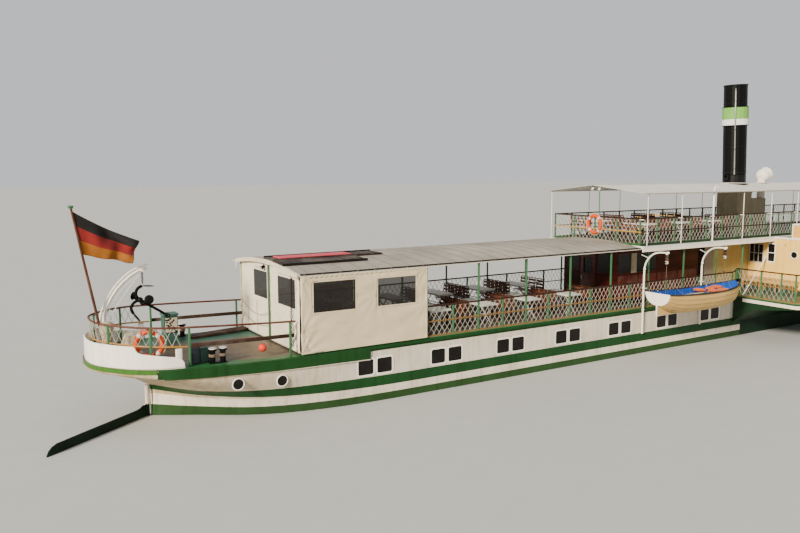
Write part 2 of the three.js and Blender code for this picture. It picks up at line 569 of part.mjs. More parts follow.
// Sponsons, open over the wheels, with the cabins and paddle boxes on them.
function sponson() {
  const y0 = HALF_BEAM + 4 + SEAT;
  const wedge = panel([[y0, 150], [y0, DECK_Z], [SPONSON_HALF, DECK_Z], [SPONSON_HALF, DECK_Z - 18], [330, DECK_Z - 50]].reverse(),
    [], 'yz', SPONSON_AFT_X, SPONSON_FORE_X);
  const planform = panel([[SPONSON_AFT_X, 0], [SPONSON_AFT_X, 525], [SPONSON_AFT_X + 30, 555], [1020, 555], [1200, 440],
    [SPONSON_FORE_X, 260], [SPONSON_FORE_X, 0]].reverse(), [], 'xy', 0, 400);
  return cut(wedge.intersect(planform), box(290, 730, 200, 515, 0, 400));
}
place('sponson_port', sponson(), 0x2a5a3c, 0.6);
place('sponson_starboard', sponson().mirror([0, 1, 0]), 0x2a5a3c, 0.6);

const HOUSE_HALF = 540;
const MID_HALF = 222;
const INNER = MID_HALF + 0.6;
const CREAM = 0xe6cf9a;
const cabinZ0 = DECK_Z + SEAT;
function sideRoom(x0, x1, tools) {
  const shell = cut(box(x0, x1, INNER, HOUSE_HALF, cabinZ0, UPPER_TOP - 4), box(x0 + 6, x1 - 6, INNER + 6, HOUSE_HALF - 6, 0, UPPER_TOP - 10));
  return cut(shell, box(x0 - 1, x1 + 1, 0, UPPER_HALF + SEAT, UPPER_BOTTOM - SEAT, 600), tools);
}
function paddleBox() {
  const shell = cut(box(266, 754, INNER, HOUSE_HALF, cabinZ0, UPPER_TOP - 4), box(272, 748, 200, HOUSE_HALF - 6, 0, UPPER_TOP - 10));
  return cut(shell, box(200, 800, 0, UPPER_HALF + SEAT, UPPER_BOTTOM - SEAT, 600));
}
// Slots fan out from the shaft's height in the outer wall of the paddle box.
function fanSlots() {
  return [20, 40, 60, 80, 100, 120, 140, 160].map((a) => (
    box(95, 175, -6, 6, -3.5, 3.5).rotate([0, -a, 0]).translate([WHEEL_X, HOUSE_HALF - 3, 292])));
}
const roofLocker = box(HOUSE_AFT_X + 10, HOUSE_AFT_X + 200, 333, 528, UPPER_TOP - 6, UPPER_TOP + 57);
const rooms = [
  ['cabin_aft', join(sideRoom(HOUSE_AFT_X, 266 - SEAT, [
    rod([HOUSE_AFT_X - 10, 351, 434], [HOUSE_AFT_X + 20, 351, 434], 14, 16), box(HOUSE_AFT_X - 10, HOUSE_AFT_X + 20, 230, 262, 396, 475), rod([122, 500, 425], [122, 600, 425], 16, 16)]), roofLocker)],
  ['paddle_box', cut(paddleBox(), fanSlots())],
  ['cabin_fore', sideRoom(754 + SEAT, HOUSE_FORE_X, [
    rod([970, 310, 425], [1000, 310, 425], 14, 16), rod([872, 500, 425], [872, 600, 425], 16, 16)])],
];
for (const [name, body] of rooms) {
  place(`${name}_port`, body, CREAM, 0.55);
  place(`${name}_starboard`, body.mirror([0, 1, 0]), CREAM, 0.55);
}

// Midship house between the side rooms: the narrower casing abaft it, doors in its forward wall.
function midshipHouse() {
  const both = (x0, x1, y0, y1, z0, z1) => [box(x0, x1, y0, y1, z0, z1), box(x0, x1, -y1, -y0, z0, z1)];
  return cut(
    join(wallBox(HOUSE_AFT_X, HOUSE_FORE_X, MID_HALF, DECK_Z + SEAT, houseTop, 6),
      wallBox(SALOON_FORE_X + SEAT, HOUSE_AFT_X + 1, SALOON_HALF, DECK_Z + SEAT, houseTop, 6)),
    box(HOUSE_AFT_X - 8, HOUSE_AFT_X + 8, -120, 120, DECK_Z - 1, 480),
    both(HOUSE_AFT_X - 4, HOUSE_AFT_X + 20, 142, 206, 388, 470),
    both(HOUSE_FORE_X - 20, HOUSE_FORE_X + 10, 148, 204, DECK_Z + 6, 470),
    both(HOUSE_FORE_X - 20, HOUSE_FORE_X + 10, 30, 110, 388, 462),
  );
}
place('midship_house', midshipHouse(), CREAM, 0.55);
for (const [name, s] of [['midship_door_starboard', -1], ['midship_door_port', 1]]) {
  const [a, b] = [Math.min(s * 148, s * 204) + doorGap, Math.max(s * 148, s * 204) - doorGap];
  place(name, cut(box(HOUSE_FORE_X - 6, HOUSE_FORE_X, a, b, DECK_Z + 7, 470 - doorGap),
    box(HOUSE_FORE_X - 20, HOUSE_FORE_X + 10, a + 12, b - 12, 385, 455)), CREAM, 0.55);
}

// Paddle wheels on their common shaft.
function paddleWheels() {
  const rim = WHEEL_RADIUS - 32;
  const step = (2 * Math.PI) / FLOATS;
  const at = (r, a) => [WHEEL_X + r * Math.cos(a), WHEEL_Z + r * Math.sin(a)];
  const outline = Array.from({ length: FLOATS * 2 }, (_, i) => at(rim, (i * step) / 2));
  const gaps = Array.from({ length: FLOATS }, (_, i) => {
    const a = i * step;
    return [at(30, a + 0.12), at(rim - 9, a + 0.024), at(rim - 9, a + step / 2), at(rim - 9, a + step - 0.024),
      at(30, a + step - 0.12)];
  });
  const parts = [rod([WHEEL_X, -WHEEL_OUTER_Y - 8, WHEEL_Z], [WHEEL_X, WHEEL_OUTER_Y + 8, WHEEL_Z], 12, 12)];
  for (const side of [-1, 1]) {
    for (const y of [WHEEL_INNER_Y + 30, WHEEL_OUTER_Y - 30]) parts.push(panel(outline, gaps, 'xz', side * y - 2, side * y + 2));
    for (let i = 0; i < FLOATS; i += 1) {
      const low = side > 0 ? WHEEL_INNER_Y : -WHEEL_OUTER_Y;
      const float = box(WHEEL_RADIUS - 52, WHEEL_RADIUS, low, low + WHEEL_OUTER_Y - WHEEL_INNER_Y, -1.5, 1.5);
      parts.push(float.rotate([0, i * (360 / FLOATS), 0]).translate([WHEEL_X, 0, WHEEL_Z]));
    }
  }
  return join(parts);
}
place('paddle_wheels', paddleWheels(), 0x8e2a1e, 0.6, 0.1);

// Sponson rails abaft the cabins: across the edge, round the corner and forward.
function sponsonRail(side) {
  const [ya, yb] = [side > 0 ? 252 : -520, side > 0 ? 520 : -252];
  const height = 122;
  const across = railFrame(ya, yb, DECK_Z, 89, 'yz', SPONSON_AFT_X + 6, side > 0 ? 367 : -456, undefined, height);
  const run = railFrame(SPONSON_AFT_X + 33, HOUSE_AFT_X - 1, DECK_Z, 93, 'xz', side * 546, undefined, undefined, height);
  const length = Math.hypot(33, 31);
  const bars = [[0.3, 7.3], [58.8, 62.5], [height - 5, height]].map(([a, b]) => (
    box(-length / 2 - 2, length / 2 + 2, -1.5, 1.5, DECK_Z + a, DECK_Z + b)
      .rotate([0, 0, side * 43.2]).translate([SPONSON_AFT_X + 20.5, side * 531.5, 0])));
  return join(across, run, bars);
}
place('sponson_rail_starboard', sponsonRail(-1), 0x2f7a48, 0.5);
place('sponson_rail_port', sponsonRail(1), 0x2f7a48, 0.5);

// Wheelhouse with its side doors.
const WH = { aft: 1060, fore: 1280, half: 110, top: 735 };
function wheelhouse() {
  const shell = wallBox(WH.aft, WH.fore, WH.half, UPPER_TOP + SEAT, WH.top, 6);
  const roof = camberedRoof(WH.aft - 15, WH.fore + 15, WH.half + 15, WH.top + 4, 8, 8);
  const windows = [
    box(WH.fore - 10, WH.fore + 10, -95, -37, 640, 715), box(WH.fore - 10, WH.fore + 10, -29, 29, 640, 715),
    box(WH.fore - 10, WH.fore + 10, 37, 95, 640, 715), box(WH.aft - 10, WH.aft + 10, -90, -10, 640, 715),
    box(WH.aft - 10, WH.aft + 10, 10, 90, 640, 715), box(WH.fore - 75, WH.fore - 15, -120, 120, 640, 715),
  ];
  const doors = box(WH.aft + 50, WH.aft + 125, -120, 120, UPPER_TOP + 8, 722);
  return join(cut(shell, windows, doors), cut(roof, box(0, 2000, -200, 200, 0, WH.top - 2)));
}
place('wheelhouse', wheelhouse(), 0xdcb36a, 0.5);
for (const [name, s] of [['wheelhouse_door_starboard', -1], ['wheelhouse_door_port', 1]]) {
  const [a, b] = s < 0 ? [-WH.half, -WH.half + 6] : [WH.half - 6, WH.half];
  place(name, cut(box(WH.aft + 50 + doorGap, WH.aft + 125 - doorGap, a, b, UPPER_TOP + 8 + doorGap, 722 - doorGap),
    box(WH.aft + 62, WH.aft + 113, -120, 120, 640, 705)), 0xdcb36a, 0.5);
}

// Foremast in its tabernacle.
place('mast_tabernacle', join(
  box(MAST_X - 14, MAST_X + 14, -16, 16, UPPER_TOP + SEAT, UPPER_TOP + 4),
  box(MAST_X - 8, MAST_X + 8, -13, -9, UPPER_TOP + 2, MAST_HINGE_Z + 10),
  box(MAST_X - 8, MAST_X + 8, 9, 13, UPPER_TOP + 2, MAST_HINGE_Z + 10),
), 0xefece4, 0.5);
place('foremast', join(
  rod([MAST_X, 0, MAST_HINGE_Z - 60], [MAST_X, 0, 1180], 7, 12, 4),
  rod([MAST_X, -8.4, MAST_HINGE_Z], [MAST_X, 8.4, MAST_HINGE_Z], 4, 8),
  rod([MAST_X, -50, 1080], [MAST_X, 50, 1080], 2.5, 6),
), 0x9a5a2a, 0.55);

// Forward saloon, roof, rails, bulwark and windlass.
const FORE_ROOF_X = 2010;
place('fore_saloon', cut(
  wallBox(1110, 1700, 150, DECK_Z + SEAT, UPPER_BOTTOM - SEAT, 8),
  [1150, 1370, 1540].map((x) => box(x, x + 120, -200, 200, 388, 460)),
  box(1690, 1710, -40, 40, DECK_Z + 6, 460),
), 0x7d2f20, 0.7);
place('fore_roof', camberedRoof(UPPER_FORE_X + SEAT, FORE_ROOF_X, ROOF_HALF - 4, EAVE_Z, ROOF_RISE, 7), 0xa8a49c, 0.7);
function foreRail(side) {
  return railFrame(SPONSON_FORE_X + 6, 1690, DECK_Z, 76, 'xz', side * RAIL_Y, SPONSON_FORE_X + 82,
    (x, i) => (i % 2 === 1 ? (x < UPPER_FORE_X ? UPPER_BOTTOM : EAVE_Z - 7.5) - SEAT : 0));
}
place('fore_rail_starboard', foreRail(-1), 0x2f7a48, 0.5);
place('fore_rail_port', foreRail(1), 0x2f7a48, 0.5);
const bowXs = [...stationXs(1700, 2840)];
place('bow_bulwark', join(
  edgeStrip(bowXs, -1, -2, 7, SEAT, 70), edgeStrip(bowXs, 1, -2, 7, SEAT, 70),
  rod([2818, 0, 340], [2842, 0, 545], 4, 8, 2.5),
  box(2800, 2846, -40, 40, 303, 360).intersect(loft([[2795, 50], [2858, 9]].map(([x, y]) => (
    [[x, -y + 2, 298], [x, -y + 2, 372], [x, y - 2, 372], [x, y - 2, 298]])))),
), 0xefece4, 0.5);
export default group;
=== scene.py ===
import math
import random
from contextlib import contextmanager
from functools import partial

import bpy
from mathutils import Matrix, Vector


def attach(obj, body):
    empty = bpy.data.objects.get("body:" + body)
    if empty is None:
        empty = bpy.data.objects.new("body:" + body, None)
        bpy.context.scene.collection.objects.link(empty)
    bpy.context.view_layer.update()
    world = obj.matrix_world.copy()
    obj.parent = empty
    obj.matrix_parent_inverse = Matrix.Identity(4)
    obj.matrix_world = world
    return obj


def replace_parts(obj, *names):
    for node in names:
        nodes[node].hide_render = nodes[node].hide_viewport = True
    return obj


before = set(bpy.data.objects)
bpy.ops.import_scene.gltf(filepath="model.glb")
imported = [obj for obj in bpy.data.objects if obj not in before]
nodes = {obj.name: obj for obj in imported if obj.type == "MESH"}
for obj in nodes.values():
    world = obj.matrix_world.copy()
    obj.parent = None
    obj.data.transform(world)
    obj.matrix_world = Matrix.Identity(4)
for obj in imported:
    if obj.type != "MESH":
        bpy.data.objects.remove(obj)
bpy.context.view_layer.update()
random.seed(7)
print("frame loaded:", len(nodes), "nodes")

# Heights and half-breadths in metres that many pieces share; a floor is the top of the steel that planks lie on.
deckZ = 0.263
waterZ = 0.085
upperZ = 0.510
floorZ = 0.2633
upperFloorZ = 0.5103
hullSide = 0.244
sides = {"starboard": -1, "port": 1}

# The camera stands where the photograph's did.
cameraSet = {"place": (-3.21, -2.2396, 0.7926), "yaw": 58.16, "pitch": 7.015, "roll": 0.13,
             "focalPixels": 760.4, "imageWidth": 800}


def linked(name, data):
    made = bpy.data.objects.new(name, data)
    bpy.context.scene.collection.objects.link(made)
    return made


def addCamera():
    yaw, pitch, roll = (math.radians(cameraSet[k]) for k in ("yaw", "pitch", "roll"))
    ahead = Vector((math.cos(yaw) * math.cos(pitch), math.sin(yaw) * math.cos(pitch), -math.sin(pitch)))
    level = Vector((math.sin(yaw), -math.cos(yaw), 0))
    over = level.cross(ahead)
    right = level * math.cos(roll) - over * math.sin(roll)
    up = over * math.cos(roll) + level * math.sin(roll)
    data = bpy.data.cameras.new("camera")
    data.sensor_width = 36
    data.lens = 36 * cameraSet["focalPixels"] / cameraSet["imageWidth"]
    data.clip_start, data.clip_end = 0.01, 100
    camera = linked("camera", data)
    turn = Matrix((right, up, -ahead)).transposed()
    camera.matrix_world = Matrix.Translation(cameraSet["place"]) @ turn.to_4x4()
    bpy.context.scene.camera = camera


addCamera()


# Small node helpers: each returns a socket, takes a number, a colour or a socket, and adds to the latest tree.
tree = None


def tint(code):
    channels = [int(code[i:i + 2], 16) / 255 for i in (1, 3, 5)]
    return (*[c / 12.92 if c < 0.04 else ((c + 0.055) / 1.055) ** 2.4 for c in channels], 1)


def feed(value, socket):
    if isinstance(value, bpy.types.NodeSocket):
        tree.links.new(value, socket)
    else:
        socket.default_value = value


def node(kind, values=(), **settings):
    made = tree.nodes.new("ShaderNode" + kind)
    for key, value in settings.items():
        setattr(made, key, value)
    for key, value in dict(values).items():
        feed(value, made.inputs[key])
    return made


def maths(operation, *values):
    made = tree.nodes.new("ShaderNodeMath")
    made.operation = operation
    for socket, value in zip(made.inputs, values):
        feed(value, socket)
    return made.outputs[0]


plus, minus, times, below, above = (
    partial(maths, operation) for operation in ("ADD", "SUBTRACT", "MULTIPLY", "LESS_THAN", "GREATER_THAN"))


def mixed(share, first, second, mode="MIX"):
    made = tree.nodes.new("ShaderNodeMix")
    made.data_type, made.blend_type = "RGBA", mode
    for index, value in ((0, share), (6, first), (7, second)):
        feed(value, made.inputs[index])
    return made.outputs[2]


def spread(value, low, high, toLow=0.0, toHigh=1.0):
    return node("MapRange", {0: value, 1: low, 2: high, 3: toLow, 4: toHigh}).outputs[0]


def noise(place, scale, detail=4.0, rough=0.55):
    return node("TexNoise", {"Vector": place, "Scale": scale, "Detail": detail, "Roughness": rough}).outputs[0]


def stretch(place, scale):
    return node("Mapping", {"Vector": place, "Scale": scale}).outputs[0]


def axes(place):
    return node("SeparateXYZ", {0: place}).outputs


def inBand(value, low, high):
    return times(above(value, low), below(value, high))


def facing():
    normal = node("NewGeometry").outputs["Normal"]
    return axes(normal)


def surface(name, metal=0.0, coat=0.0, sheen=0.0, alpha=1.0, gloss=0.3):
    global tree
    material = bpy.data.materials.new(name)
    material.use_nodes = True
    tree = material.node_tree
    shader = tree.nodes["Principled BSDF"]
    for socket, value in (("Metallic", metal), ("Coat Weight", coat), ("Sheen Weight", sheen), ("Alpha", alpha),
                          ("Specular IOR Level", gloss)):
        shader.inputs[socket].default_value = value
    place = node("TexCoord").outputs["Object"]
    return material, shader, place


def bumped(shader, height, strength, distance=0.001):
    bump = node("Bump", {"Height": height, "Strength": strength, "Distance": distance})
    tree.links.new(bump.outputs[0], shader.inputs["Normal"])


# Painted metal or wood: soft tone patches, runs of grime down the upright faces, brush marks and chips.
def paint(name, colour, rough=0.42, wear=0.3, streak=0.3, grime="#6b5d48", metal=0.0, chips=0.0, zones=None,
          gloss=0.25):
    material, shader, place = surface(name, metal, gloss=gloss)
    base = zones(place) if zones else tint(colour)
    patches = noise(place, 9, 6, 0.65)
    fine = noise(place, 70, 3)
    runs = noise(stretch(place, (38, 38, 3)), 1.6, 5, 0.6)
    worn = times(spread(patches, 0.42, 0.78), wear)
    streaked = times(spread(runs, 0.5, 0.8), streak)
    colourNow = mixed(worn, base, tint(grime), "MULTIPLY")
    colourNow = mixed(streaked, colourNow, tint(grime), "MULTIPLY")
    if chips:
        flakes = times(above(fine, 1 - chips), above(patches, 0.5))
        colourNow = mixed(flakes, colourNow, tint("#5a3a26"))
    tree.links.new(colourNow, shader.inputs["Base Color"])
    tree.links.new(spread(patches, 0.3, 0.8, rough - 0.06, rough + 0.16), shader.inputs["Roughness"])
    bumped(shader, plus(fine, times(runs, 0.5)), 0.25, 0.0006)
    return material


boardSet = {"length": 0.32, "gap": "#2a2018", "gapShare": 0.07, "buttShare": 0.006, "shift": 0.37}


# Boards run along x; their joints are dark, and each board has its own tone.
def boards(place, colour, width):
    p = axes(place)
    row = maths("DIVIDE", p[1], width)
    number = maths("FLOOR", row)
    part = maths("FRACT", row)
    shift = times(number, boardSet["shift"])
    run = plus(maths("DIVIDE", p[0], boardSet["length"]), shift)
    cell = node("CombineXYZ", {0: number, 1: maths("FLOOR", run)}).outputs[0]
    tone = node("TexWhiteNoise", {"Vector": cell}, noise_dimensions="3D").outputs[0]
    grain = noise(stretch(place, (6, 90, 90)), 1.4, 6, 0.6)
    darker = tuple(c * 0.55 for c in tint(colour)[:3]) + (1,)
    base = mixed(plus(times(tone, 0.45), times(grain, 0.5)), tint(colour), darker)
    seam = maths("MAXIMUM", below(part, boardSet["gapShare"]), below(maths("FRACT", run), boardSet["buttShare"]))
    return mixed(seam, base, tint(boardSet["gap"]))


def woodwork(name, colour, rough=0.5, coat=0.0, run=(6, 60, 60), contrast=0.6):
    material, shader, place = surface(name, coat=coat)
    grain = noise(stretch(place, run), 2.2, 7, 0.6)
    patches = noise(place, 14, 3)
    darker = tuple(c * (1 - contrast) for c in tint(colour)[:3]) + (1,)
    colourNow = mixed(spread(grain, 0.35, 0.7), tint(colour), darker)
    colourNow = mixed(times(spread(patches, 0.45, 0.8), 0.35), colourNow, tint("#8d8272"))
    tree.links.new(colourNow, shader.inputs["Base Color"])
    tree.links.new(spread(grain, 0.3, 0.7, rough, rough + 0.2), shader.inputs["Roughness"])
    bumped(shader, grain, 0.3, 0.0008)
    return material


clothRough = 0.85


# Woven cloth: threads crossing, faint creases and stains in patches; the creases are darkened as painted shade.
def cloth(name, colour, weave=420, stain=0.25, zones=None, across=(0, 2), stainAndCreaseShadeColour="#8c7c60"):
    material, shader, place = surface(name, sheen=0.15)
    base = zones(place) if zones else tint(colour)
    p = axes(place)
    threads = [maths("SINE", times(p[i], weave * 6.28)) for i in across]
    threadHeight = times(*threads)
    patches = noise(place, 6, 6, 0.62)
    creases = noise(stretch(place, (9, 9, 22)), 1.5, 5, 0.7)
    colourNow = mixed(times(spread(patches, 0.4, 0.8), stain), base, tint(stainAndCreaseShadeColour))
    # Painted shade: the creases are darkened with the stain colour.
    colourNow = mixed(times(spread(creases, 0.55, 0.7), stain * 0.5), colourNow, tint(stainAndCreaseShadeColour), "MULTIPLY")
    tree.links.new(colourNow, shader.inputs["Base Color"])
    tree.links.new(spread(patches, 0.3, 0.8, clothRough - 0.08, clothRough + 0.08), shader.inputs["Roughness"])
    height = plus(times(threadHeight, 0.12), creases)
    bumped(shader, height, 0.4, 0.002)
    return material


def glazing(name, colour, alpha=1.0, rough=0.12):
    material, shader, place = surface(name, alpha=alpha, gloss=0.25)
    smear = noise(place, 16, 4)
    colourNow = mixed(spread(smear, 0.4, 0.75, 0, 0.3), tint(colour), tint("#2c2b29"))
    tree.links.new(colourNow, shader.inputs["Base Color"])
    tree.links.new(spread(smear, 0.3, 0.8, rough, rough + 0.12), shader.inputs["Roughness"])
    return material


# Zones paint parts of one node in their own colours, told apart by place or by the way a face looks.
hullLook = {"white": "#dfd5c4", "dirty": "#ad9468", "stripe": "#1b4420", "boot": "#2d4a26", "bottom": "#3a2420",
            "belt": "#1a421c", "rimGreen": "#3f6a26", "deck": "#6d5f4e", "margin": "#2a5c34", "stripeLow": 0.133,
            "stripeHigh": 0.166, "bootHigh": 0.109, "sweepFrom": 1.9}


def hullZones(place):
    look = hullLook
    x, y, z = axes(place)
    reach = maths("MAXIMUM", minus(maths("ABSOLUTE", x), look["sweepFrom"]), 0.0)
    lift = maths("POWER", reach, 2.0)

    def swept(height, share):
        return maths("MULTIPLY_ADD", lift, share, height)

    stain = noise(stretch(place, (30, 30, 5)), 1.2, 5)
    white = mixed(times(spread(x, -2.72, -2.15, 0.95, 0.12), spread(stain, 0.25, 0.6, 0.45, 1.0)),
                  tint(look["white"]), tint(look["dirty"]))
    white = mixed(below(z, swept(look["stripeLow"], 0.03)), white, tint("#e6dac6"))
    colour = mixed(inBand(z, swept(look["stripeLow"], 0.05), swept(look["stripeHigh"], 0.024)),
                   white, tint(look["stripe"]))
    colour = mixed(below(z, swept(look["bootHigh"], 0.016)), colour, tint(look["boot"]))
    # Between x -0.222 and 1.220, under the sponsons, the hull side is dark green: green paint darkened as painted
    # shade.
    colour = mixed(inBand(x, -0.222, 1.220), colour, tint("#12291a"))
    colour = mixed(below(z, waterZ - 0.006), colour, tint(look["bottom"]))
    rise = maths("POWER", maths("MAXIMUM", maths("DIVIDE", minus(x, 1.69), 1.168), 0.0), 1.5)
    aft = maths("MAXIMUM", minus(-2.41, x), 0.0)
    deckLine = plus(maths("MULTIPLY_ADD", rise, 0.04, deckZ), times(aft, 0.02))
    drop = minus(z, deckLine)
    depth = maths("MULTIPLY_ADD", above(x, -2.08), 0.022, spread(x, -2.70, -2.08, -0.028, -0.0385))
    isBelt = times(above(drop, depth), above(x, -2.714))
    colour = mixed(isBelt, colour, tint(look["belt"]))
    # Aft of x -2.714 the strip is a lighter green than the belt along the sides: painted sunlight on the same green.
    isRim = times(above(drop, -0.0118), below(x, -2.714))
    colour = mixed(isRim, colour, tint(look["rimGreen"]))
    planks = boards(place, look["deck"], 0.014)
    inside = below(maths("ABSOLUTE", y), maths("MULTIPLY_ADD", aft, -0.16, 0.208))
    planks = mixed(times(above(y, 0.098), below(x, -2.29)), planks, tint("#3c5f50"))
    top = mixed(inside, tint(look["margin"]), planks)
    isTop = times(above(facing()[2], 0.8), above(drop, -0.01))
    return mixed(isTop, colour, top)


railLook = {"post": "#3f6b46", "top": "#2f1a10", "bars": "#86622e"}


def railZones(height):
    def zones(place):
        post, top, bars = (tint(railLook[key]) for key in ("post", "top", "bars"))
        z = axes(place)[2]
        colour = mixed(inBand(z, deckZ + height * 0.478, deckZ + height * 0.514), post, bars)
        colour = mixed(inBand(z, deckZ + 0.0036, deckZ + 0.0074), colour, bars)
        return mixed(inBand(z, deckZ + height - 0.0056, deckZ + height + 0.0006), colour, top)
    return zones


def upperRailZones(place):
    x, _, z = axes(place)
    aft = below(x, -0.866)
    # Bars and foot strip are darker along the side runs than at the after end: painted shade.
    bars = mixed(aft, tint("#241710"), tint("#b98f2c"))
    low = mixed(aft, tint("#1d3d20"), tint("#2e5a2a"))
    colour = mixed(inBand(z, upperZ + 0.0505, upperZ + 0.0545), tint("#46684a"), bars)
    colour = mixed(below(z, upperZ + 0.0074), colour, low)
    return mixed(above(z, upperZ + 0.1004), colour, tint("#2a1a12"))


def rudderZones(place):
    z = axes(place)[2]
    return mixed(above(z, 0.1205), tint("#0f2212"), tint("#ddd0bd"))


def roofZones(place):
    top = above(facing()[2], 0.5)
    covering = mixed(spread(noise(place, 5, 5, 0.6), 0.35, 0.7), tint("#a8a094"), tint("#857f75"))
    return mixed(top, tint("#e2d9c6"), covering)


def saloonZones(place):
    x, _, z = axes(place)
    panelled = mixed(spread(noise(stretch(place, (4, 4, 50)), 1.5, 5), 0.35, 0.7),
                     tint("#4f170e"), tint("#2c0d08"))
    colour = mixed(inBand(x, -0.340, -0.20), panelled, tint("#8b8478"))
    return mixed(below(z, deckZ + 0.02), colour, tint("#1c0f0a"))


def houseZones(place):
    x, _, z = axes(place)
    # Aft of x -0.0205 the cream wall is a darker beige: painted shade on the same wall.
    colour = mixed(below(x, -0.0205), tint("#f3c668"), tint("#ac9660"))
    colour = mixed(below(z, deckZ + 0.018), colour, tint("#3c4a38"))
    colour = mixed(inBand(z, 0.4985, 0.5075), colour, tint("#ece8dc"))
    topFace = times(above(facing()[2], 0.7), inBand(z, 0.5, 0.512))
    return mixed(topFace, colour, tint("#8f9088"))


funnelLook = {"hinge": (0.040, 0, 0.780), "rake": 3.0, "bandLow": 0.229, "bandMiddle": 0.258, "bandHigh": 0.314,
              "edge": 0.0025}


def funnelZones(place):
    look = funnelLook
    axis = (-math.sin(math.radians(look["rake"])), 0, math.cos(math.radians(look["rake"])))
    offset = node("VectorMath", {0: place, 1: look["hinge"]}, operation="SUBTRACT").outputs[0]
    up = node("VectorMath", {0: offset, 1: axis}, operation="DOT_PRODUCT").outputs["Value"]
    colour = mixed(inBand(up, look["bandLow"] + look["edge"], look["bandMiddle"]), tint("#070706"),
                   tint("#e4e4de"))
    return mixed(inBand(up, look["bandMiddle"], look["bandHigh"] - look["edge"]), colour, tint("#74a84e"))


def sponsonZones(place):
    _, y, z = axes(place)
    planks = boards(place, "#55705e", 0.018)
    colour = mixed(above(z, deckZ - 0.0185), tint("#16301c"), tint("#e6dcc8"))
    colour = mixed(above(z, deckZ - 0.0045), colour, tint("#1d4022"))
    # Faces near the hull, above z 0.2, are a darker green: painted shade under the sponson.
    inner = below(maths("ABSOLUTE", y), 0.29)
    colour = mixed(times(inner, above(z, 0.2)), colour, tint("#14291a"))
    return mixed(times(above(facing()[2], 0.7), above(z, 0.255)), colour, planks)


def wheelZones(place):
    x, _, z = axes(place)
    dx, dz = minus(x, 0.51), minus(z, 0.21)
    radius = maths("SQRT", plus(maths("POWER", dx, 2.0), maths("POWER", dz, 2.0)))
    wood = mixed(noise(stretch(place, (40, 6, 40)), 2), tint("#7a5a3c"), tint("#4d3826"))
    return mixed(above(radius, 0.1535), tint("#9a3324"), wood)


def casingZones(place):
    return mixed(above(axes(place)[2], 0.7045), tint("#aa9e80"), tint("#0b0a09"))


def bulwarkZones(place):
    z = axes(place)[2]
    return mixed(below(z, 0.2735), tint("#f4ecdf"), tint("#c9bfae"))


finishes = {
    "hull": paint("hullPaint", "#dedacd", wear=0.35, streak=0.45, zones=hullZones, chips=0.2, grime="#93866c",
                  gloss=0.16),
    "white": paint("whitePaint", "#f0e8d9", wear=0.12, streak=0.2, chips=0.12),
    "cream": paint("creamPaint", "#f3c668", wear=0.15, streak=0.25, grime="#8a6f42", zones=houseZones),
    "green": paint("railGreen", "#3f6b46", wear=0.15, chips=0.2),
    "mainRail": paint("mainRailPaint", "#3f6b46", wear=0.15, chips=0.2, zones=railZones(0.106)),
    "upperRail": paint("upperRailPaint", "#46684a", wear=0.15, chips=0.2, zones=upperRailZones),
    "sponsonRail": paint("sponsonRailPaint", "#3f6b46", wear=0.15, zones=railZones(0.122)),
    "bulwark": paint("bulwarkPaint", "#f4ecdf", wear=0.08, streak=0.2, zones=bulwarkZones),
    "rudder": paint("rudderPaint", "#0f2212", wear=0.4, streak=0.3, zones=rudderZones, gloss=0.12),
    "roof": paint("roofCovering", "#968d7f", rough=0.6, wear=0.2, streak=0.1, zones=roofZones),
    "saloon": paint("saloonPanels", "#4f170e", rough=0.5, wear=0.15, streak=0.1, zones=saloonZones, gloss=0.15),
    "door": woodwork("doorWood", "#5c2012", coat=0.2, run=(60, 60, 5)),
    "varnish": woodwork("varnishedWood", "#8a4d1c", rough=0.35, coat=0.4, run=(60, 60, 5)),
    "poleWood": woodwork("poleWood", "#5a2c12", rough=0.5, run=(60, 60, 5)),
    "stair": woodwork("stairWood", "#7d5232", run=(60, 5, 60)),
    "gangway": woodwork("gangwayBoards", "#2c211a", run=(6, 60, 60)),
    "black": paint("blackPaint", "#0c0c0d", rough=0.4, wear=0.3, streak=0.2, metal=0.2, grime="#8a7a6a", gloss=0.15),
    "iron": paint("engineIron", "#30352f", rough=0.5, metal=0.6),
    "funnel": paint("funnelPaint", "#070706", wear=0.22, streak=0.35, grime="#9a948c", zones=funnelZones, gloss=0.14),
    "casing": paint("casingPaint", "#aa9e80", wear=0.25, streak=0.35, zones=casingZones),
    "cowl": paint("cowlPaint", "#f2eada", wear=0.12, streak=0.2),
    "sponson": paint("sponsonPaint", "#16301c", wear=0.25, streak=0.3, zones=sponsonZones),
    "wheels": paint("wheelPaint", "#7c2015", wear=0.3, streak=0.1, zones=wheelZones, chips=0.2),
    "wheelhouse": paint("wheelhousePaint", "#d59a3c", wear=0.12, streak=0.15),
    "mast": woodwork("mastWood", "#8a4d1c", rough=0.4, coat=0.3, run=(60, 60, 4)),
    "canvas": cloth("sideCanvas", "#dbc9a4", stain=0.4),
    "awningCloth": cloth("awningCloth", "#c4c1b8", stain=0.25, across=(0, 1)),
    "glass": glazing("windowGlass", "#0d0807"),
    "teal": paint("ventGreen", "#45655a", rough=0.6, wear=0.3),
    "film": glazing("canvasWindowFilm", "#1f1c1a", alpha=0.85, rough=0.2),
}
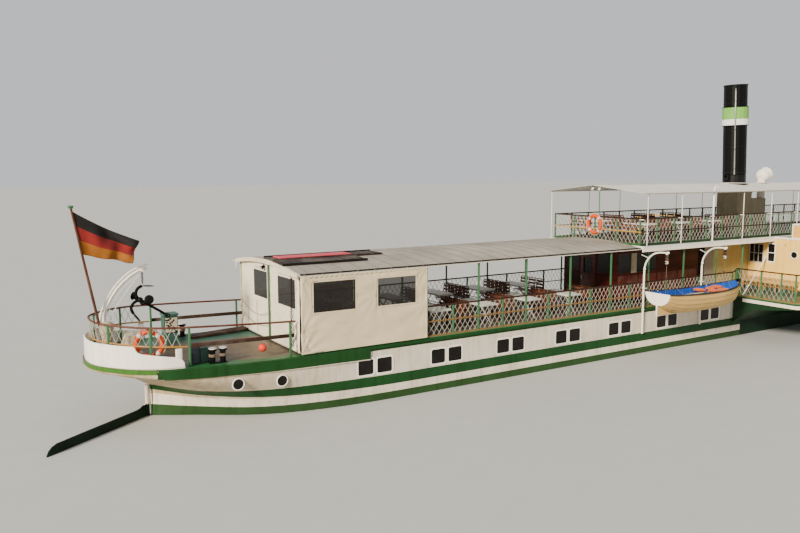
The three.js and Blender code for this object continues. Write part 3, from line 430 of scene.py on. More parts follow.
nodeFinish = {
    "hull": "hull", "engine": "iron", "boiler": "iron", "rudder": "rudder", "stern_bulwark": "bulwark",
    "stern_rail": "green", "flagpole": "poleWood", "flag": "black", "anchor_davit": "white",
    "stern_anchor": "black", "bollards_aft_starboard": "black", "bollards_aft_port": "black",
    "foredeck_gear": "black", "main_rail_starboard": "mainRail", "main_rail_port": "mainRail", "aft_roof": "roof",
    "gangplank": "gangway", "canvas_starboard": "canvas", "canvas_port": "canvas", "canvas_stern": "canvas",
    "aft_deck": "gangway", "saloon": "saloon", "saloon_door": "door", "stair": "stair", "upper_deck": "white",
    "upper_rail": "upperRail", "awning_frame": "white", "awning": "awningCloth", "funnel_casing": "casing",
    "funnel": "funnel", "cowl_vent": "cowl", "capstan": "casing", "vent_locker": "teal", "lifeboat": "white",
    "davit_aft": "white", "davit_fore": "white",
    "sponson_port": "sponson", "sponson_starboard": "sponson", "cabin_aft_port": "cream",
    "cabin_aft_starboard": "cream", "paddle_box_port": "cream", "paddle_box_starboard": "cream",
    "cabin_fore_port": "cream", "cabin_fore_starboard": "cream", "midship_house": "cream",
    "midship_door_starboard": "door", "midship_door_port": "door", "paddle_wheels": "wheels",
    "sponson_rail_starboard": "sponsonRail", "sponson_rail_port": "sponsonRail", "wheelhouse": "wheelhouse",
    "wheelhouse_door_starboard": "door", "wheelhouse_door_port": "door", "mast_tabernacle": "white",
    "foremast": "mast", "fore_saloon": "saloon", "fore_roof": "roof", "fore_rail_starboard": "mainRail",
    "fore_rail_port": "mainRail", "bow_bulwark": "bulwark",
}


def painted(piece, *looks):
    piece.data.materials.clear()
    for look in looks:
        piece.data.materials.append(finishes[look])
    return piece


for name, finish in nodeFinish.items():
    painted(nodes[name], finish)
print("materials on the frame:", len(nodeFinish))


# Mesh helpers. Each leaves one finished object selected and active.
def clearSelection():
    bpy.ops.object.select_all(action="DESELECT")


def pickOnly(piece):
    clearSelection()
    piece.select_set(True)
    bpy.context.view_layer.objects.active = piece
    return piece


def applyModifiers(piece):
    pickOnly(piece)
    for modifier in list(piece.modifiers):
        bpy.ops.object.modifier_apply(modifier=modifier.name)


@contextmanager
def editing():
    bpy.ops.object.mode_set(mode="EDIT")
    bpy.ops.mesh.select_all(action="SELECT")
    yield
    bpy.ops.object.mode_set(mode="OBJECT")


def roundOff(piece, width, segments=2):
    modifier = piece.modifiers.new("edges", "BEVEL")
    modifier.width, modifier.segments = width, segments
    modifier.limit_method, modifier.angle_limit = "ANGLE", math.radians(35)
    applyModifiers(piece)


def fromCurve(curve):
    pickOnly(linked(curve.name, curve))
    bpy.ops.object.convert(target="MESH")
    return bpy.context.object


def moved(pieces, place):
    for piece in pieces:
        piece.data.transform(place)
    return pieces


def turned(place, degrees, axis="Z"):
    return Matrix.Translation(place) @ Matrix.Rotation(math.radians(degrees), 4, axis)


def cutOut(piece, cutters):
    for cutter in cutters:
        opening = piece.modifiers.new("opening", "BOOLEAN")
        opening.operation, opening.object, opening.solver = "DIFFERENCE", cutter, "EXACT"
    applyModifiers(piece)
    for cutter in cutters:
        bpy.data.objects.remove(cutter)


def soften(piece):
    smooth = piece.modifiers.new("soft", "SUBSURF")
    smooth.levels = smooth.render_levels = 1
    applyModifiers(piece)


def settle():
    bpy.ops.object.transform_apply(location=True, rotation=True, scale=True)
    return bpy.context.object


def addBox(low, high, bevel=0.0):
    clearSelection()
    bpy.ops.mesh.primitive_cube_add(size=1, location=[(a + b) / 2 for a, b in zip(low, high)],
                                    scale=[b - a for a, b in zip(low, high)])
    piece = settle()
    if bevel:
        roundOff(piece, bevel)
    return piece


def addRod(start, end, radius, around=8, endRadius=None):
    clearSelection()
    start, end = Vector(start), Vector(end)
    run = end - start
    bpy.ops.mesh.primitive_cone_add(vertices=around, radius1=radius, depth=run.length, location=(start + end) / 2,
                                    radius2=radius if endRadius is None else endRadius,
                                    rotation=run.to_track_quat("Z", "Y").to_euler())
    return settle()


def addRing(centre, axis, major, minor, majorSides=32, minorSides=10):
    clearSelection()
    bpy.ops.mesh.primitive_torus_add(location=centre, rotation=Vector(axis).to_track_quat("Z", "Y").to_euler(),
                                     major_radius=major, minor_radius=minor, major_segments=majorSides,
                                     minor_segments=minorSides)
    return settle()


def addBall(centre, radius, scale=(1, 1, 1), segments=16, rings=10):
    clearSelection()
    bpy.ops.mesh.primitive_uv_sphere_add(segments=segments, ring_count=rings, radius=radius, location=centre)
    bpy.context.object.scale = scale
    return settle()


def addTube(points, radius, around=3, smooth=True):
    curve = bpy.data.curves.new("tube", "CURVE")
    curve.dimensions = "3D"
    curve.bevel_depth, curve.bevel_resolution, curve.use_fill_caps = radius, around, True
    curve.resolution_u = 4
    spline = curve.splines.new("BEZIER" if smooth else "POLY")
    if smooth:
        spline.bezier_points.add(len(points) - 1)
        for bezier, point in zip(spline.bezier_points, points):
            bezier.co = point
            bezier.handle_left_type = bezier.handle_right_type = "AUTO"
    else:
        spline.points.add(len(points) - 1)
        for at, point in zip(spline.points, points):
            at.co = (*point, 1)
    return fromCurve(curve)


# Short forms take the finish first: boxIn("white", low, high) is a painted box.
def inFinish(make):
    return lambda look, *args, **settings: painted(make(*args, **settings), look)


boxIn, rodIn, ringIn, ballIn, tubeIn = (inFinish(make) for make in (addBox, addRod, addRing, addBall, addTube))


def about(centre, half):
    return centre - half, centre + half


# A box from its spans along x, y and z.
def boxOf(look, xs, ys, zs, bevel=0.0):
    return boxIn(look, *zip(xs, ys, zs), bevel)


def named(name, finish=None, body="ship"):
    piece = bpy.context.object
    piece.name = piece.data.name = name
    if finish:
        painted(piece, finish)
    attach(piece, body)
    return piece


def merged(pieces):
    clearSelection()
    for piece in pieces:
        piece.select_set(True)
    bpy.context.view_layer.objects.active = pieces[0]
    if len(pieces) > 1:
        bpy.ops.object.join()
    return bpy.context.object


def joined(pieces, name, finish=None, body="ship", smooth=False):
    merged(pieces)
    if smooth:
        bpy.ops.object.shade_smooth_by_angle(angle=math.radians(40))
    return named(name, finish, body)


def copies(unit, places):
    made = []
    for place in places:
        copy = unit.copy()
        copy.data = unit.data.copy()
        copy.data.transform(place if isinstance(place, Matrix) else Matrix.Translation(place))
        bpy.context.scene.collection.objects.link(copy)
        made.append(copy)
    bpy.data.objects.remove(unit)
    return made


# The matrix that turns +Z to a direction and moves the origin to a point.
def facingPlace(centre, direction):
    return Matrix.Translation(centre) @ Vector(direction).to_track_quat("Z", "Y").to_matrix().to_4x4()


def between(start, end):
    run = Vector(end) - Vector(start)
    return facingPlace(start, run) @ Matrix.Diagonal((1, 1, run.length, 1))


def wires(pairs, radius):
    return copies(addRod((0, 0, 0), (0, 0, 1), radius, 4), [between(a, b) for a, b in pairs])


# Lattice of crossing wires behind the rails, drawn along a path at the rail's own height.
latticeSet = {"pitch": 0.0209, "wire": 0.0008}


def alongPath(path, pitch):
    points, left = [], 0.0
    for a, b in zip(path, path[1:]):
        a, b = Vector(a), Vector(b)
        length = (b - a).length
        while left <= length:
            points.append(a.lerp(b, left / length))
            left += pitch
        left -= length
    return points


def lattice(path, low, high, skip=3, pitch=latticeSet["pitch"]):
    points = alongPath(path, pitch / 2)
    pairs = []
    for i in range(0, len(points) - skip, 2):
        a, b = points[i], points[i + skip]
        pairs += [(a + Vector((0, 0, low)), b + Vector((0, 0, high))),
                  (a + Vector((0, 0, high)), b + Vector((0, 0, low)))]
    return pairs


finishes["wire"] = paint("latticeWire", "#a3a296", rough=0.5, wear=0.25)
halves = ((0.0076, 0.0505), (0.0545, 0.1005))
tallHalves = ((0.0076, 0.0584), (0.0625, 0.1168))
sideRuns = (("mainRail", halves, deckZ, (((-1.866, 0.241), (-0.286, 0.241)),)),
            ("upperRail", halves, upperZ, (((-0.871, 0.235), (1.431, 0.235)),)),
            ("sponsonRail", tallHalves, deckZ, (((-0.274, 0.254), (-0.274, 0.518)),
                                                ((-0.245, 0.546), (-0.023, 0.546)))),
            ("foreRail", halves, deckZ, (((1.308, 0.241), (1.688, 0.241)),)))


def railLattice(name, bands, floor, runs):
    pairs = []
    for low, high in bands:
        for run in runs:
            pairs += lattice([(x, y, floor) for x, y in run], low, high)
    joined(wires(pairs, latticeSet["wire"]), name, "wire")


for side, s in sides.items():
    for name, bands, floor, runs in sideRuns:
        railLattice(name + "Lattice_" + side, bands, floor, [[(x, s * y) for x, y in run] for run in runs])
for x, name in ((-0.871, "aft"), (1.431, "fore")):
    railLattice("upperRailLattice_" + name, halves, upperZ, [[(x, -0.233), (x, 0.233)]])
print("rail lattices")

# Windows: a rounded plate is inset, the inner face becomes the pane and the rim is drawn out.
windowSet = {"hull": {"size": (0.0600, 0.0540), "rim": 0.0036, "depth": 0.004, "corner": 0.009},
             "firstX": -2.1262, "pairPitch": 0.2715, "secondOffset": 0.0672, "low": 0.1725}


def windowUnit(width, height, rim, depth, corner=0.0, frameFinish="white", pane="glass"):
    clearSelection()
    bpy.ops.mesh.primitive_plane_add(size=1)
    bpy.context.object.scale = (width, height, 1)
    piece = settle()
    piece.data.materials.append(finishes[frameFinish])
    piece.data.materials.append(finishes[pane])
    with editing():
        if corner:
            bpy.ops.mesh.bevel(offset=corner, segments=4, affect="VERTICES")
            bpy.ops.mesh.select_all(action="SELECT")
        bpy.ops.mesh.inset(thickness=rim)
        piece.active_material_index = 1
        bpy.ops.object.material_slot_assign()
        bpy.ops.mesh.select_all(action="INVERT")
        bpy.ops.mesh.extrude_region_shrink_fatten(TRANSFORM_OT_shrink_fatten={"value": depth})
    return piece


def hullWindows(side, s):
    look = windowSet["hull"]
    unit = windowUnit(*look["size"], look["rim"], look["depth"], look["corner"])
    places = []
    for k in range(15):
        for offset in (0, windowSet["secondOffset"]):
            x = windowSet["firstX"] + k * windowSet["pairPitch"] + offset + look["size"][0] / 2
            if x < -0.32 or 1.36 < x < 1.66:
                proud = 0.0008 if -1.95 < x < 1 else 0.0021
                places.append(facingPlace((x, s * (hullSide + proud), windowSet["low"] + look["size"][1] / 2),
                                          (0, s, 0)))
    joined(copies(unit, places), "hullWindows_" + side)


for side, s in sides.items():
    hullWindows(side, s)
print("hull windows")


# Cloth sheets are grids laid along two edges, pushed into folds by a formula, with any openings left out.
def steps(marks, pitch):
    values = [marks[0]]
    for a, b in zip(marks, marks[1:]):
        count = max(1, round((b - a) / pitch))
        values += [a + (b - a) * (i + 1) / count for i in range(count)]
    return values


def clothSheet(name, us, vs, place, finish, openings=(), thickness=0.0008):
    def isOpening(u, v):
        return any(a < u < b and c < v < d for a, b, c, d in openings)

    mesh = bpy.data.meshes.new(name)
    rows = len(vs)
    points = [place(u, v) for u in us for v in vs]
    faces = []
    for i in range(len(us) - 1):
        for j in range(rows - 1):
            if not isOpening((us[i] + us[i + 1]) / 2, (vs[j] + vs[j + 1]) / 2):
                faces.append((i * rows + j, (i + 1) * rows + j, (i + 1) * rows + j + 1, i * rows + j + 1))
    mesh.from_pydata(points, [], faces)
    spans = us[-1] - us[0], vs[-1] - vs[0]
    layer = mesh.uv_layers.new(name="cut")
    for loop in mesh.loops:
        i, j = divmod(loop.vertex_index, rows)
        layer.data[loop.index].uv = ((us[i] - us[0]) / spans[0], (vs[j] - vs[0]) / spans[1])
    piece = pickOnly(linked(name, mesh))
    bpy.ops.object.mode_set(mode="EDIT")
    bpy.ops.mesh.delete_loose()
    bpy.ops.object.mode_set(mode="OBJECT")
    wall = piece.modifiers.new("cloth", "SOLIDIFY")
    wall.thickness, wall.offset = thickness, 0
    applyModifiers(piece)
    bpy.ops.object.shade_smooth()
    return named(name, finish)


# Side canvas: folds fan out from the lashed corners, and slack runs along it below the windows.
canvasSet = {"aft": -2.311, "fore": -1.872, "low": 0.268, "high": 0.4955, "pitch": 0.0055, "plane": 0.2486,
             "windows": ((-2.273, -2.130, 0.385, 0.479), (-2.056, -1.914, 0.385, 0.475)),
             "corners": ((-2.311, 0.4955, 0.0028), (-2.311, 0.268, 0.0034), (-1.872, 0.4955, 0.0021),
                         (-2.311, 0.33, 0.0024), (-2.056, 0.43, 0.0014), (-1.872, 0.385, 0.0014))}


def foldDepth(u, v, corners, slack=0.0012):
    depth = slack * math.sin(v * 95 + 2.2 * math.sin(u * 11)) * (0.4 + 0.6 * math.sin(u * 5 + 1) ** 2)
    for cu, cv, height in corners:
        du, dv = u - cu, v - cv
        reach = math.hypot(du, dv)
        depth += height * math.exp(-reach / 0.050) * min(1, reach / 0.012) * math.sin(math.atan2(dv, du) * 13)
    return depth


def canvasWindows(windows, rim, finish, place):
    rims = []
    for a, b, c, d in windows:
        unit = windowUnit(b - a + 0.004, d - c + 0.004, rim, 0.0007, 0, finish, "film")
        rims += copies(unit, [place((a + b) / 2, (c + d) / 2)])
    return rims, sum((b - a) * (d - c) for a, b, c, d in windows)


def sideCanvas(side, s):
    look = canvasSet
    us = steps([look["aft"], -2.273, -2.130, -2.056, -1.914, look["fore"]], look["pitch"])
    vs = steps([look["low"], 0.385, 0.475, 0.479, look["high"]], look["pitch"])

    def place(u, v):
        return (u, s * (look["plane"] + foldDepth(u, v, look["corners"])), v)

    sheet = clothSheet("sideCanvas_" + side, us, vs, place, "canvas", look["windows"])
    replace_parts(sheet, "canvas_" + side)
    rims, holes = canvasWindows(look["windows"], 0.0042, "canvas", lambda x, z: facingPlace(
        (x, s * (look["plane"] + 0.0012), z), (0, s, 0)))
    plane = s * look["plane"]
    hems = [boxOf("canvas", (look["aft"], look["fore"]), about(plane, 0.0012), (z, z + 0.004))
            for z in (look["low"], look["high"] - 0.004)]
    hems.append(boxOf("canvas", (look["fore"] - 0.005, look["fore"]), about(plane, 0.0014),
                      (look["low"], look["high"])))
    trim = joined(rims + hems, "sideCanvasTrim_" + side)


for side, s in sides.items():
    sideCanvas(side, s)


# Stern canvas under the curved roof edge, with a post in its middle.
sternSet = {"x": -2.3098, "half": 0.236, "low": 0.268, "eave": 0.503, "rise": 0.021, "roofHalf": 0.25, "cut": 0.243,
            "windows": ((0.004, 0.122, 0.394, 0.485), (-0.212, -0.078, 0.394, 0.485)),
            "corners": ((-0.236, 0.495, 0.002), (-0.236, 0.268, 0.002), (0.236, 0.495, 0.0015), (0.0, 0.39, 0.0012),
                        (-0.078, 0.39, 0.0012))}


def underRoof(y):
    look = sternSet
    return look["eave"] + look["rise"] * (1 - (y / look["roofHalf"]) ** 2) - 0.0078


def sternCanvas():
    look = sternSet
    us = steps([-look["half"], -0.212, -0.078, 0.004, 0.122, look["half"]], 0.0055)
    vs = steps([look["low"], 0.394, 0.485, 0.4955], 0.0055)

    def place(u, v):
        top = max(0.0, (v - 0.485) / 0.0105)
        z = v + top * (underRoof(u) - 0.4955)
        return (look["x"] - foldDepth(u, v, look["corners"], 0.0006), u, z)

    sheet = clothSheet("sternCanvas", us, vs, place, "sunlitSternCloth", look["windows"])
    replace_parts(sheet, "canvas_stern")
    rims, holes = canvasWindows(look["windows"], 0.0045, "sunlitSternCloth", lambda y, z: facingPlace(
        (look["x"] - 0.0012, y, z), (-1, 0, 0)))
    trim = joined(rims, "sternCanvasTrim")
    addRod((-2.3155, -0.017, 0.268), (-2.3155, -0.017, 0.513), 0.0032, 8)
    named("sternCanvasPost", "green")


# The stern canvas is a lighter cream than the side canvas: painted sunlight on the same cloth.
finishes["sunlitSternCloth"] = cloth("sternCanvasCloth", "#e8dcc3", stain=0.25, across=(1, 2))
sternCanvas()

# The awning sags a little between its hoops and is collared where the funnel and the vent pass through.
awningSet = {"aft": -0.890, "fore": 1.010, "half": 0.260, "edge": 0.7133, "crown": 0.7413, "hoop": -0.850,
             "hoopPitch": 0.2006, "sag": 0.0042, "holes": ((0.042, 0.060), (0.256, 0.025))}


def awningHeight(x, y):
    look = awningSet
    ridge = look["crown"] - (look["crown"] - look["edge"]) * abs(y) / look["half"]
    part = math.sin(math.pi * (x - look["hoop"]) / look["hoopPitch"]) ** 2
    ends = 1 if look["hoop"] < x < look["hoop"] + 9 * look["hoopPitch"] else 0.3
    return ridge - look["sag"] * part * ends * (0.35 + 0.65 * math.sin(math.pi * min(1, abs(y) / look["half"])))


def addAwning():
    look = awningSet
    us = steps([look["aft"], look["fore"]], 0.0125)
    vs = steps([-look["half"], 0, look["half"]], 0.0125)

    def place(u, v):
        for cx, radius in look["holes"]:
            reach = math.hypot(u - cx, v)
            if reach < radius:
                reach = max(reach, 1e-5)
                u, v = cx + (u - cx) / reach * radius, v / reach * radius
        return (u, v, awningHeight(u, v))

    sheet = clothSheet("awningSheet", us, vs, place, "awningCloth", [
        (cx - radius * 0.68, cx + radius * 0.68, -radius * 0.68, radius * 0.68) for cx, radius in look["holes"]])
    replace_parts(sheet, "awning")
    collars = [addRing((cx, 0, look["crown"] + 0.001), (0, 0, 1), radius, 0.0018, 40, 6)
               for cx, radius in look["holes"]]
    collars += [addRod((look["aft"], s * look["half"], look["edge"]), (look["fore"], s * look["half"], look["edge"]),
                       0.0019, 6) for s in (-1, 1)]
    trim = joined(collars, "awningTrim", "awningCloth")


addAwning()

# The flag hangs out from its staff in shallow waves; its three stripes follow the cloth's own map.
flagSet = {"hoistTop": (-2.8738, -0.009, 0.690), "hoistLow": (-2.8530, -0.009, 0.571),
           "flyTop": (-2.703, -0.009, 0.603), "flyLow": (-2.725, -0.009, 0.5415), "flat": (0.173, 0.120),
           "wave": 0.0085, "stripes": ("#060404", "#7c0f0d", "#8f5202")}


def flagZones(place):
    v = axes(node("UVMap", uv_map="cut").outputs[0])[1]
    colour = mixed(above(v, 1 / 3), tint(flagSet["stripes"][2]), tint(flagSet["stripes"][1]))
    return mixed(above(v, 2 / 3), colour, tint(flagSet["stripes"][0]))


def addFlag():
    look = flagSet
    corners = [Vector(look[key]) for key in ("hoistLow", "flyLow", "flyTop", "hoistTop")]

    def place(u, v):
        low, high = corners[0].lerp(corners[1], u), corners[3].lerp(corners[2], u)
        point = low.lerp(high, v)
        swell = u ** 0.8 * look["wave"]
        point.y += swell * math.sin(u * 10.5 + v * 2.2) + 0.35 * swell * math.sin(u * 21 - v * 3)
        point.y += u * 0.0125 * math.sin(v * 7.5 + u * 4)
        point.z -= 0.006 * math.sin(math.pi * u) * (0.4 + v * 0.6) - 0.003 * math.sin(u * 11 + 1) * u * (1 - v)
        return tuple(point)

    sheet = clothSheet("ensign", steps([0, 1], 1 / 40), steps([0, 1], 1 / 24), place, "flagCloth", thickness=0.0005)
    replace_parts(sheet, "flag")
    truck = [addBall((-2.8783, -0.009, 0.7035), 0.0085, (1, 1, 0.45)),
             addRod((-2.8775, -0.009, 0.698), (-2.8782, -0.009, 0.7035), 0.0055, 12)]
    joined(truck, "flagpoleTruck", "green", smooth=True)


finishes["flagCloth"] = cloth("flagCloth", "#7c0f0d", stain=0.05, zones=flagZones, weave=600)
addFlag()
print("cloth: side canvas, stern canvas, awning, flag")

# Lifebuoys: a ring in four quarters parted by bands, with a grab line round it.
finishes["buoy"] = paint("buoyOrange", "#d24a10", rough=0.5, wear=0.2, streak=0.1)
finishes["band"] = paint("buoyBand", "#c9c4b8", rough=0.6)
finishes["rope"] = cloth("ropeFibre", "#cfc5ab", weave=900, across=(0, 1))
buoySet = {"major": 0.0345, "minor": 0.0072, "lineRadius": 0.0009, "bandHalf": 0.0042}


def lifebuoy(name, centre, direction):
    look = buoySet
    pieces = [ringIn("buoy", (0, 0, 0), (0, 0, 1), look["major"], look["minor"], 40, 12)]
    for quarter in range(4):
        angle = math.radians(45 + quarter * 90)
        at = Vector((math.cos(angle), math.sin(angle), 0)) * look["major"]
        reach = Vector((-math.sin(angle), math.cos(angle), 0)) * look["bandHalf"]
        pieces.append(rodIn("band", at - reach, at + reach, look["minor"] + 0.0005, 14))
    points = []
    for i in range(17):
        angle = math.radians(45 + i * 22.5)
        out = look["major"] + look["minor"] * (0.95 if i % 4 == 0 else 1.45)
        points.append((math.cos(angle) * out, math.sin(angle) * out, 0))
    pieces.append(tubeIn("rope", points, look["lineRadius"], 1))
    joined(moved(pieces, facingPlace(centre, direction)), name, smooth=True)


lifebuoy("lifebuoyStern", (-2.7245, -0.172, 0.3345), (-0.45, -0.89, 0))
lifebuoy("lifebuoyUpperDeck", (-0.8815, -0.007, 0.582), (-1, 0, 0))
print("lifebuoys")


# Flat plates are cut from a filled outline, drawn across x and z or x and y, and given their thickness.
def addPlate(outline, thickness, place=None, bevel=0.0):
    curve = bpy.data.curves.new("plate", "CURVE")
    curve.dimensions, curve.fill_mode, curve.extrude = "2D", "BOTH", thickness / 2
    spline = curve.splines.new("POLY")
    spline.points.add(len(outline) - 1)
    for at, (u, v) in zip(spline.points, outline):
        at.co = (u, v, 0, 1)
    spline.use_cyclic_u = True
    piece = fromCurve(curve)
    with editing():
        bpy.ops.mesh.remove_doubles(threshold=0.00001)
        bpy.ops.mesh.normals_make_consistent(inside=False)
    if place:
        piece.data.transform(place)
    if bevel:
        roundOff(piece, bevel, 1)
    return piece


upright = Matrix.Rotation(math.radians(90), 4, "X")


# Portholes in the quarters, each a ring round a dark pane.
quarterPorts = ((-2.501, 0.2385, 0.206, 0.05), (-2.371, 0.2437, 0.1985, 0.01))
for side, s in sides.items():
    rings = []
    for x, y, z, slope in quarterPorts:
        out = Vector((-slope, s, -0.06)).normalized()
        centre = Vector((x, s * y, z))
        rings += [ringIn("white", centre, out, 0.0168, 0.0020, 28, 8),
                  rodIn("glass", centre - out * 0.003, centre + out * 0.0008, 0.0160, 24)]
    joined(rings, "portholes_" + side, smooth=True)

# Seams of the roof covering, a dark drip edge along the eaves and a pale fascia across the after end.
roofSet = {"aft": -2.312, "fore": -0.883, "pitch": 0.0585, "eave": 0.503, "rise": 0.021}


def onRoof(y, lift, half=0.25):
    return roofSet["eave"] + roofSet["rise"] * (1 - (y / half) ** 2) + lift


def roofSeams(name, start, end, half):
    ys = [half * k for k in (-1, -0.7, -0.4, 0, 0.4, 0.7, 1)]
    unit = tubeIn("seam", [(0, y * 0.998, onRoof(y, 0.0002, half)) for y in ys], 0.0011, 1, smooth=False)
    count = int((end - start) / roofSet["pitch"])
    seams = copies(unit, [(start + (i + 0.5) * roofSet["pitch"], 0, 0) for i in range(count)])
    for s in (-1, 1):
        seams.append(boxOf("gutter", (start - 0.0005, end), about(s * (half + 0.0002), 0.0016),
                           (roofSet["eave"] - 0.0030, roofSet["eave"] + 0.0014)))
    joined(seams, name)


finishes["seam"] = paint("roofSeam", "#70675b", rough=0.6)
finishes["gutter"] = paint("roofGutter", "#17110d", rough=0.5)
roofSeams("aftRoofSeams", roofSet["aft"], roofSet["fore"], 0.25)
roofSeams("foreRoofSeams", 1.443, 2.007, 0.246)
finishes["fascia"] = paint("roofFascia", "#d9cbb0", wear=0.15, streak=0.2)
arc = [(y, onRoof(y, 0)) for y in (-0.2518, -0.205, -0.155, -0.105, -0.055, 0, 0.055, 0.105, 0.155, 0.205, 0.2518)]
fascia = addPlate([(y, z + 0.0010) for y, z in arc] + [(y, z - 0.0118) for y, z in reversed(arc)], 0.0034)
fascia.data.transform(Matrix.Translation((-2.3225, 0, 0))
                      @ Matrix(((0, 0, 1, 0), (1, 0, 0, 0), (0, 1, 0, 0), (0, 0, 0, 1))))
joined([fascia], "roofFascia", "fascia")
print("portholes and roof seams")

# Lifeboat: clinker strakes laid over its sections, blue within, with a dark gunwale and a white transom.
finishes["boatPlanks"] = paint("boatPlanking", "#c9a662", wear=0.25, streak=0.15, grime="#7a6036", chips=0.15)
finishes["boatInside"] = paint("boatInside", "#1d55ad", rough=0.5, wear=0.12, streak=0.1, grime="#12305e")
finishes["gunwale"] = woodwork("gunwaleWood", "#14151f", rough=0.6, run=(6, 60, 60), contrast=0.4)
finishes["ropeDark"] = cloth("mooringRope", "#6f5a44", weave=500, across=(0, 1))
finishes["thwart"] = woodwork("thwartWood", "#86603c", run=(60, 6, 60))
finishes["lifeJacket"] = cloth("lifeJacketCloth", "#c4581a", weave=300, stain=0.2, across=(0, 1),
                               stainAndCreaseShadeColour="#a34e18")
finishes["pale"] = paint("paleFitting", "#cfcbbd", rough=0.5, wear=0.3)
boatSet = {"centre": (-0.656, -0.357, 0.257), "strakes": 6, "lap": 0.0019, "wall": 0.0026, "stations": 34,
           "rows": ((-0.249, 0.057, 0.039, 0.086), (-0.242, 0.058, 0.034, 0.085), (-0.200, 0.061, 0.016, 0.082),
                    (-0.140, 0.064, 0.004, 0.079), (-0.030, 0.066, 0.000, 0.076), (0.080, 0.063, 0.002, 0.078),
                    (0.160, 0.049, 0.008, 0.084), (0.210, 0.027, 0.020, 0.091), (0.244, 0.004, 0.044, 0.100)),
           "thwarts": ((-0.120, -0.095, 0.0535), (0.020, 0.045, 0.0555), (0.120, 0.142, 0.048)),
           "falls": ((-0.860, 0.036), (-0.511, 0.030))}


def boatSection(x):
    rows = boatSet["rows"]
    k = max(i for i in range(len(rows) - 1) if rows[i][0] <= max(x, rows[0][0]))
    t = min(1, (x - rows[k][0]) / (rows[k + 1][0] - rows[k][0]))
    before, after = rows[max(k - 1, 0)], rows[min(k + 2, len(rows) - 1)]
    found = []
    for column in (1, 2, 3):
        p0, p1, p2, p3 = (row[column] for row in (before, rows[k], rows[k + 1], after))
        if k in (0, len(rows) - 2):
            found.append(p1 + (p2 - p1) * t)
            continue
        x0, x1, x2, x3 = (row[0] for row in (before, rows[k], rows[k + 1], after))
        m1 = (p2 - p0) / (x2 - x0) * (x2 - x1)
        m2 = (p3 - p1) / (x3 - x1) * (x2 - x1)
        found.append((2 * t ** 3 - 3 * t ** 2 + 1) * p1 + (t ** 3 - 2 * t ** 2 + t) * m1
                     + (3 * t ** 2 - 2 * t ** 3) * p2 + (t ** 3 - t ** 2) * m2)
    return found


def boatSkin(x, part, proud=0.0):
    half, keel, gunwale = boatSection(x)
    angle = abs(part) * math.pi / 2
    side = math.copysign(1, part)
    y, z = math.sin(angle), 1 - math.cos(angle)
    return Vector((x, side * (half * y + proud * math.sin(angle)),
                   keel + (gunwale - keel) * z - proud * math.cos(angle)))


def clinkerHull():
    look = boatSet
    parts = []
    for k in range(look["strakes"]):
        parts += [(k / look["strakes"] + (0.006 if k else 0.0), look["lap"] if k else 0.0),
                  ((k + 1) / look["strakes"], 0.0)]
    rowParts = [(-p, proud) for p, proud in reversed(parts)] + parts[1:]
    clearSelection()
    bpy.ops.mesh.primitive_grid_add(x_subdivisions=look["stations"], y_subdivisions=len(rowParts) - 1, size=2)
    hull = bpy.context.object
    ends = look["rows"][0][0], look["rows"][-1][0]
    for vertex in hull.data.vertices:
        u, v = (vertex.co.x + 1) / 2, (vertex.co.y + 1) / 2
        part, proud = rowParts[round(v * (len(rowParts) - 1))]
        x = ends[0] + (ends[1] - ends[0]) * (1 - (1 - u) ** 1.35)
        vertex.co = boatSkin(x, part, proud)
    painted(hull, "boatPlanks", "white", "boatInside", "boatInside", "gunwale", "gunwale")
    bpy.ops.object.mode_set(mode="EDIT")
    bpy.ops.mesh.select_all(action="DESELECT")
    bpy.ops.object.mode_set(mode="OBJECT")
    for vertex in hull.data.vertices:
        vertex.select = abs(vertex.co.x - ends[0]) < 1e-6
    for edge in hull.data.edges:
        edge.select = all(hull.data.vertices[i].select for i in edge.vertices)
    bpy.ops.object.mode_set(mode="EDIT")
    bpy.ops.mesh.edge_face_add()
    hull.active_material_index = 1
    bpy.ops.object.material_slot_assign()
    bpy.ops.mesh.select_all(action="SELECT")
    bpy.ops.mesh.normals_make_consistent(inside=False)
    bpy.ops.object.mode_set(mode="OBJECT")
    wall = hull.modifiers.new("planking", "SOLIDIFY")
    wall.thickness, wall.offset, wall.material_offset, wall.material_offset_rim = look["wall"], -1, 2, 4
    applyModifiers(hull)
    return hull


